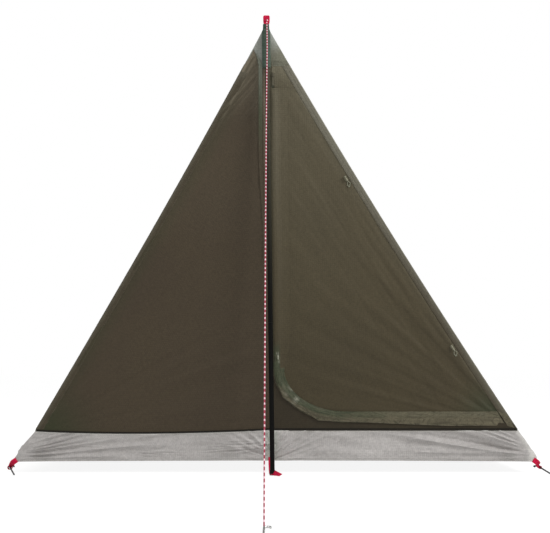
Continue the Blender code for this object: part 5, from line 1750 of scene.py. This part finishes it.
def corner_strap(side, rear):
    """Two plies that lie flat on the band, twist a quarter turn at the front and go round the peg."""
    depth = Vector((0, 1, 0))
    eye_y = rear_y(EYE_HEIGHT) - EYE_DEPTH if rear else front_y(EYE_HEIGHT) + EYE_DEPTH
    eye = Vector((side * (FLOOR_WIDTH / 2 + EYE_REACH), eye_y, EYE_HEIGHT))
    radius = eye_radius(0.0 if rear else math.radians(FRONT_PEG_TURN[side]))
    neck = math.asin(PLY_HALF_SPACE / radius)
    if rear:
        first = Vector((side * (half_width(0.046) + 0.0012), eye_y, 0.046))
        second = first.lerp(eye, 0.4)
    else:
        first = Vector((side * 0.7270, FRONT_Y - 0.0026, 0.0355))
        second = Vector((side * 0.7375, FRONT_Y - 0.0026, 0.0280))
    aim = (Vector((second.x, eye.y, second.z)) - eye).normalized()
    beside = depth.cross(aim)
    near = eye + aim * (radius * math.cos(neck) + 0.0004)
    third = Vector((mix(second.x, near.x, 0.6), eye.y - 0.009, mix(second.z, near.z, 0.6)))
    if rear:
        third = second.lerp(near, 0.55)
    middle = rounded_route([first, second, third, near], 16)
    faces, across = [], []
    for i in range(len(middle)):
        flat = depth.cross(run_at(middle, i).normalized()).normalized()
        if flat.dot(beside) < 0:
            flat.negate()
        t = i / (len(middle) - 1)
        angle = math.pi / 2 * (0 if rear else 1 - smooth((t - 0.60) / 0.38))
        faces.append(flat * math.cos(angle) - depth * math.sin(angle))
        across.append(depth * math.cos(angle) + flat * math.sin(angle))
    there = [point + face * PLY_HALF_SPACE for point, face in zip(middle, faces)]
    back = [point - face * PLY_HALF_SPACE for point, face in zip(middle, faces)]
    bend = []
    for i in range(1, 24):
        a = neck + (2 * math.pi - 2 * neck) * i / 24
        bend.append(eye + aim * radius * math.cos(a) + beside * radius * math.sin(a))
    across += [depth] * len(bend) + across[::-1]
    return ring_mesh(strap_rings(there + bend + back[::-1], across, 0.0150, 0.0012))


def corner_straps():
    for rear, end in ((False, "front"), (True, "rear")):
        for side, side_name in ((-1, "left"), (1, "right")):
            corner = "%s_%s" % (end, side_name)
            finished("corner_strap_" + corner, corner_strap(side, rear), red_finish, "tent",
                     ["corner_loop_" + corner])


def with_hole(mesh, foot):
    """The strap's mesh with a round hole at the pole's foot."""
    radius = 0.0047
    rings = [[foot + Vector((radius * c, radius * s, z)) for c, s in once_round(24)] for z in (-0.002, 0.006)]
    cutter = placed("hole_cutter", ring_mesh(rings))
    plain = placed("strap_plain", mesh)
    cut = plain.modifiers.new("hole", "BOOLEAN")
    cut.operation = "DIFFERENCE"
    cut.solver = "EXACT"
    cut.object = cutter
    made = bpy.data.meshes.new_from_object(plain.evaluated_get(bpy.context.evaluated_depsgraph_get()))
    bpy.data.objects.remove(plain)
    bpy.data.objects.remove(cutter)
    return made


def foot_strap():
    """Red webbing from the hem to the pole's foot, with its free tail in front."""
    half = 0.0009
    landing = 0.60
    foot = Vector((pole_x(0), pole_y(), 0))
    start = Vector((-0.0112, FRONT_Y - 0.0006, 0))
    start.y -= half + GAP + 0.0075 * math.sin(math.atan2(foot.x - start.x, start.y - foot.y))
    bend = foot + Vector((0.0085, -0.0140, 0))
    end = foot + Vector((0.0225, -0.0240, 0))

    def at(share, z):
        """A point on the strap's plan; share is 1 at the pole's foot and 2 at the tail's end."""
        if share <= 1:
            place = start.lerp(foot, share)
        elif share <= 1.5:
            place = foot.lerp(bend, (share - 1) * 2)
        else:
            place = bend.lerp(end, (share - 1.5) * 2)
        return Vector((place.x, place.y, z))

    route = [at(0, 0.043) + Vector((0, FRONT_SLOPE * 0.013, 0))]
    for i in range(5):
        share = i / 4
        route.append(at(landing * share, half + (HEM_HEIGHT - half) * (1 - share) ** 2))
    route += [at(0.8, half), at(1.0, half), at(1.2, 0.0070), at(1.5, 0.0064), at(2.0, 0.0029)]
    path = rounded_route(route, 44)
    across = []
    for i in range(len(path)):
        run = run_at(path, i)
        flat = Vector((run.x, run.y - 0.002, 0))
        t = i / (len(path) - 1)
        twist = math.radians(58) * smooth((t - 0.70) / 0.08) * (1 - 0.75 * smooth((t - 0.86) / 0.14))
        level = Vector((-flat.y, flat.x, 0)).normalized()
        across.append(level * math.cos(twist) + Vector((0, 0, 1)) * math.sin(twist))
    mesh = with_hole(ring_mesh(strap_rings(path, across, 0.0148, 0.0016)), foot)
    finished("foot_strap_webbing", mesh, red_finish, "tent", ["foot_strap"])


TAB_THICKNESS = 0.0012
BARREL_RADIUS = 0.00275
BARREL_LIFT = 0.0008


def toggle_tab(at, across):
    path = [at @ Vector((0, mix(-0.008, 0.008, i / 8), 0.0010 + 0.0003 * math.sin(math.pi * i / 8)))
            for i in range(9)]
    return ring_mesh(strap_rings(path, across, 0.0098, 0.0011))


def toggle_barrel(at):
    """A moulded barrel, waisted at its middle and rounded at its ends."""
    level = GAP + TAB_THICKNESS + GAP + BARREL_RADIUS + BARREL_LIFT
    rings = []
    for i in range(21):
        t = i / 20
        waist = 1 - 0.30 * math.exp(-((t - 0.5) / 0.09) ** 2)
        end = math.sqrt(max(1 - abs(2 * t - 1) ** 6, 0.02))
        size = BARREL_RADIUS * waist * end
        y = mix(-0.009, 0.009, t)
        rings.append([at @ Vector((size * c, y, level + size * s)) for c, s in once_round(16)])
    return ring_mesh(rings)


def toggle_elastic(at):
    """A loop of round elastic that hangs from the tab, wide at its middle."""
    count = 40
    loop = []
    for i in range(count):
        a = 2 * math.pi * i / count
        down = 0.5 - 0.5 * math.sin(a)
        wide = 0.0046 * math.sin(math.pi * min(down * 1.15, 1.0)) ** 0.5 if down < 0.87 else 0.0046
        across = wide * math.cos(a) - 0.0040 * down ** 1.5
        loop.append(at @ Vector((across, -0.0098 - 0.0150 * down, 0.0014 + 0.0008 * down)))
    rings = []
    for i, point in enumerate(loop):
        side = (loop[(i + 1) % count] - loop[i - 1]).normalized().cross(FRONT_OUT)
        rings.append([point + (side * c + FRONT_OUT * s) * 0.0011 for c, s in once_round(8)])
    return ring_mesh(rings, closed=True)


def toggles():
    """Tie-backs beside the door: a sewn tab, a moulded barrel and an elastic loop."""
    for name, z in (("upper", 0.825), ("lower", 0.350)):
        low = on_front(door_edge_x(z), z)
        up = (on_front(door_edge_x(z + 0.01), z + 0.01) - low).normalized()
        across = up.cross(FRONT_OUT).normalized()
        turn = Matrix((across, up, FRONT_OUT)).transposed().to_4x4()
        at = Matrix.Translation(low - Vector((0.009, 0, 0))) @ turn
        finished("toggle_tab_%s_sewn" % name, toggle_tab(at, across), tab_finish, "door",
                 ["toggle_tab_" + name])
        finished("toggle_barrel_" + name, toggle_barrel(at), toggle_finish, "toggle_" + name,
                 ["toggle_bar_" + name])
        finished("toggle_elastic_" + name, toggle_elastic(at), elastic_finish, "door",
                 ["toggle_loop_" + name])


def hard_parts():
    """The rigid parts keep their own solids and take their finishes."""
    for finish, names in (
        (pole_finish, ("pole_section_lower", "pole_section_middle", "pole_section_upper")),
        (nylon_finish, ("pole_tip", "pole_cap")),
        (eyelet_finish, ("foot_eyelet",)),
        (ferrule_finish, ("pole_ferrule_lower", "pole_ferrule_upper")),
        (zip_metal_finish, ("zip_slider", "zip_pull")),
        (steel_finish, ("guy_peg",)),
        (peg_finish, ("peg_front_left", "peg_front_right", "peg_rear_left", "peg_rear_right")),
    ):
        for name in names:
            part = frame["nodes"][name]
            part.data.materials.clear()
            part.data.materials.append(finish)


# Studio floor, backdrop and lights

def seen_share(tree, first, *others):
    """1 for the named kinds of ray, and 0 for every other."""
    path = node(tree, "LightPath")
    share = path.outputs[first]
    for other in others:
        share = worked(tree, "MAXIMUM", share, path.outputs[other])
    return share


def studio_floor():
    """A pale floor that takes the tent's shadow, and glows white where the camera sees it."""
    reach = 60
    corners = [(-reach, -reach, 0), (reach, -reach, 0), (reach, reach, 0), (-reach, reach, 0)]
    mesh = bpy.data.meshes.new("studio_floor")
    mesh.from_pydata(corners, [], [(0, 1, 2, 3)])
    ground = placed("studio_floor", mesh)
    ground.location = (0, 0, -0.0006)
    paint, tree, shader = shader_of("studio_floor_paint")
    fill(tree, shader, {"Base Color": (0.90, 0.90, 0.90, 1), "Roughness": 0.9})
    glow = node(tree, "Emission", {"Strength": 1.12})
    share = worked(tree, "MULTIPLY", seen_share(tree, "Is Camera Ray", "Is Glossy Ray"), 0.80)
    both = node(tree, "MixShader", {0: share, 1: shader.outputs[0], 2: glow.outputs[0]})
    fill(tree, tree.nodes["Material Output"], {"Surface": both.outputs[0]})
    mesh.materials.append(paint)


def backdrop():
    """A world that is white to the camera and in mirrors, and lights the tent half as brightly."""
    white = (1, 1, 1, 1)
    world = bpy.data.worlds.new("studio")
    bpy.context.scene.world = world
    world.use_nodes = True
    tree = world.node_tree
    dim = fill(tree, tree.nodes["Background"], {"Color": white, "Strength": 0.50})
    bright = node(tree, "Background", {"Color": white, "Strength": 1.0})
    share = seen_share(tree, "Is Camera Ray", "Is Glossy Ray", "Is Transmission Ray")
    both = node(tree, "MixShader", {0: share, 1: dim.outputs[0], 2: bright.outputs[0]})
    fill(tree, tree.nodes["World Output"], {"Surface": both.outputs[0]})


def lights():
    for name, place, aim, size, power in (
        ("key_panel", (3.4, -3.4, 3.2), (0.1, -1.2, 0.6), 1.6, 150),
        ("fill_panel", (-3.2, -4.2, 2.2), (-0.2, -1.2, 0.5), 2.8, 30),
        ("rear_panel_light", (0.5, 3.8, 3.6), (0, 0.4, 0.4), 3.0, 60),
    ):
        data = bpy.data.lights.new(name, "AREA")
        data.shape = "DISK"
        data.size = size
        data.energy = power
        lamp = placed(name, data)
        lamp.location = place
        lamp.rotation_euler = (Vector(aim) - Vector(place)).to_track_quat("-Z", "Y").to_euler()


camera()
guy_line()
left_half = front_left_cloth()
edge = edge_strip()
leaf = door_cloth()
sill = sill_cloth()
head = head_cloth()
left_wall = side_cloth(-1, "side_left_cloth", "side_panel_left")
right_wall = side_cloth(1, "side_right_cloth", "side_panel_right")
rear_wall = rear_cloth()
crown = crown_cloth()
ridge_tapes()
hem = canopy_hem_painted_shadow()
band = band_cloth()
ground = groundsheet_cloth()
flap = storm_flap()
flap_end = storm_flap_end()
zip_guard()
zip_tapes()
stitching()
teeth()
crown_webbing()
apex_loop()
pole_sleeve()
corner_straps()
foot_strap()
toggles()
hard_parts()
studio_floor()
backdrop()
lights()

# Flat sizes and areas of the cloth, in metres
for cloth, width, length, area, hangs_from, along in (
    (left_half, 0.690, 1.080, 0.382, ["crown_cloth", "band_cloth"], [hem, edge]),
    (leaf, 0.630, 0.930, 0.295, ["ridge_tapes"], []),
    (sill, 0.750, 0.060, 0.0227, ["band_cloth"], []),
    (head, 0.066, 0.067, 0.0028, ["crown_cloth"], []),
    (left_wall, 2.400, 1.190, 1.483, ["crown_cloth", "band_cloth"], []),
    (right_wall, 2.400, 1.220, 1.522, ["crown_cloth", "band_cloth"], []),
    (rear_wall, 1.360, 2.440, 1.789, ["crown_cloth", "band_cloth"], []),
    (crown, 0.730, 0.130, 0.0527, ["pole_cap"], []),
    (band, 7.800, 0.120, 0.906, ["groundsheet_cloth"], []),
    (ground, 1.443, 2.448, None, ["band_cloth"], []),
    (flap, 1.600, 0.060, 0.0672, ["door_cloth"], [flap_end]),
):
    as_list(hangs_from)
    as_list(along)

for unit in [o for o in bpy.data.objects if o.name.endswith("_unit")]:
    bpy.data.objects.remove(unit)

bpy.context.scene.view_settings.view_transform = "Standard"
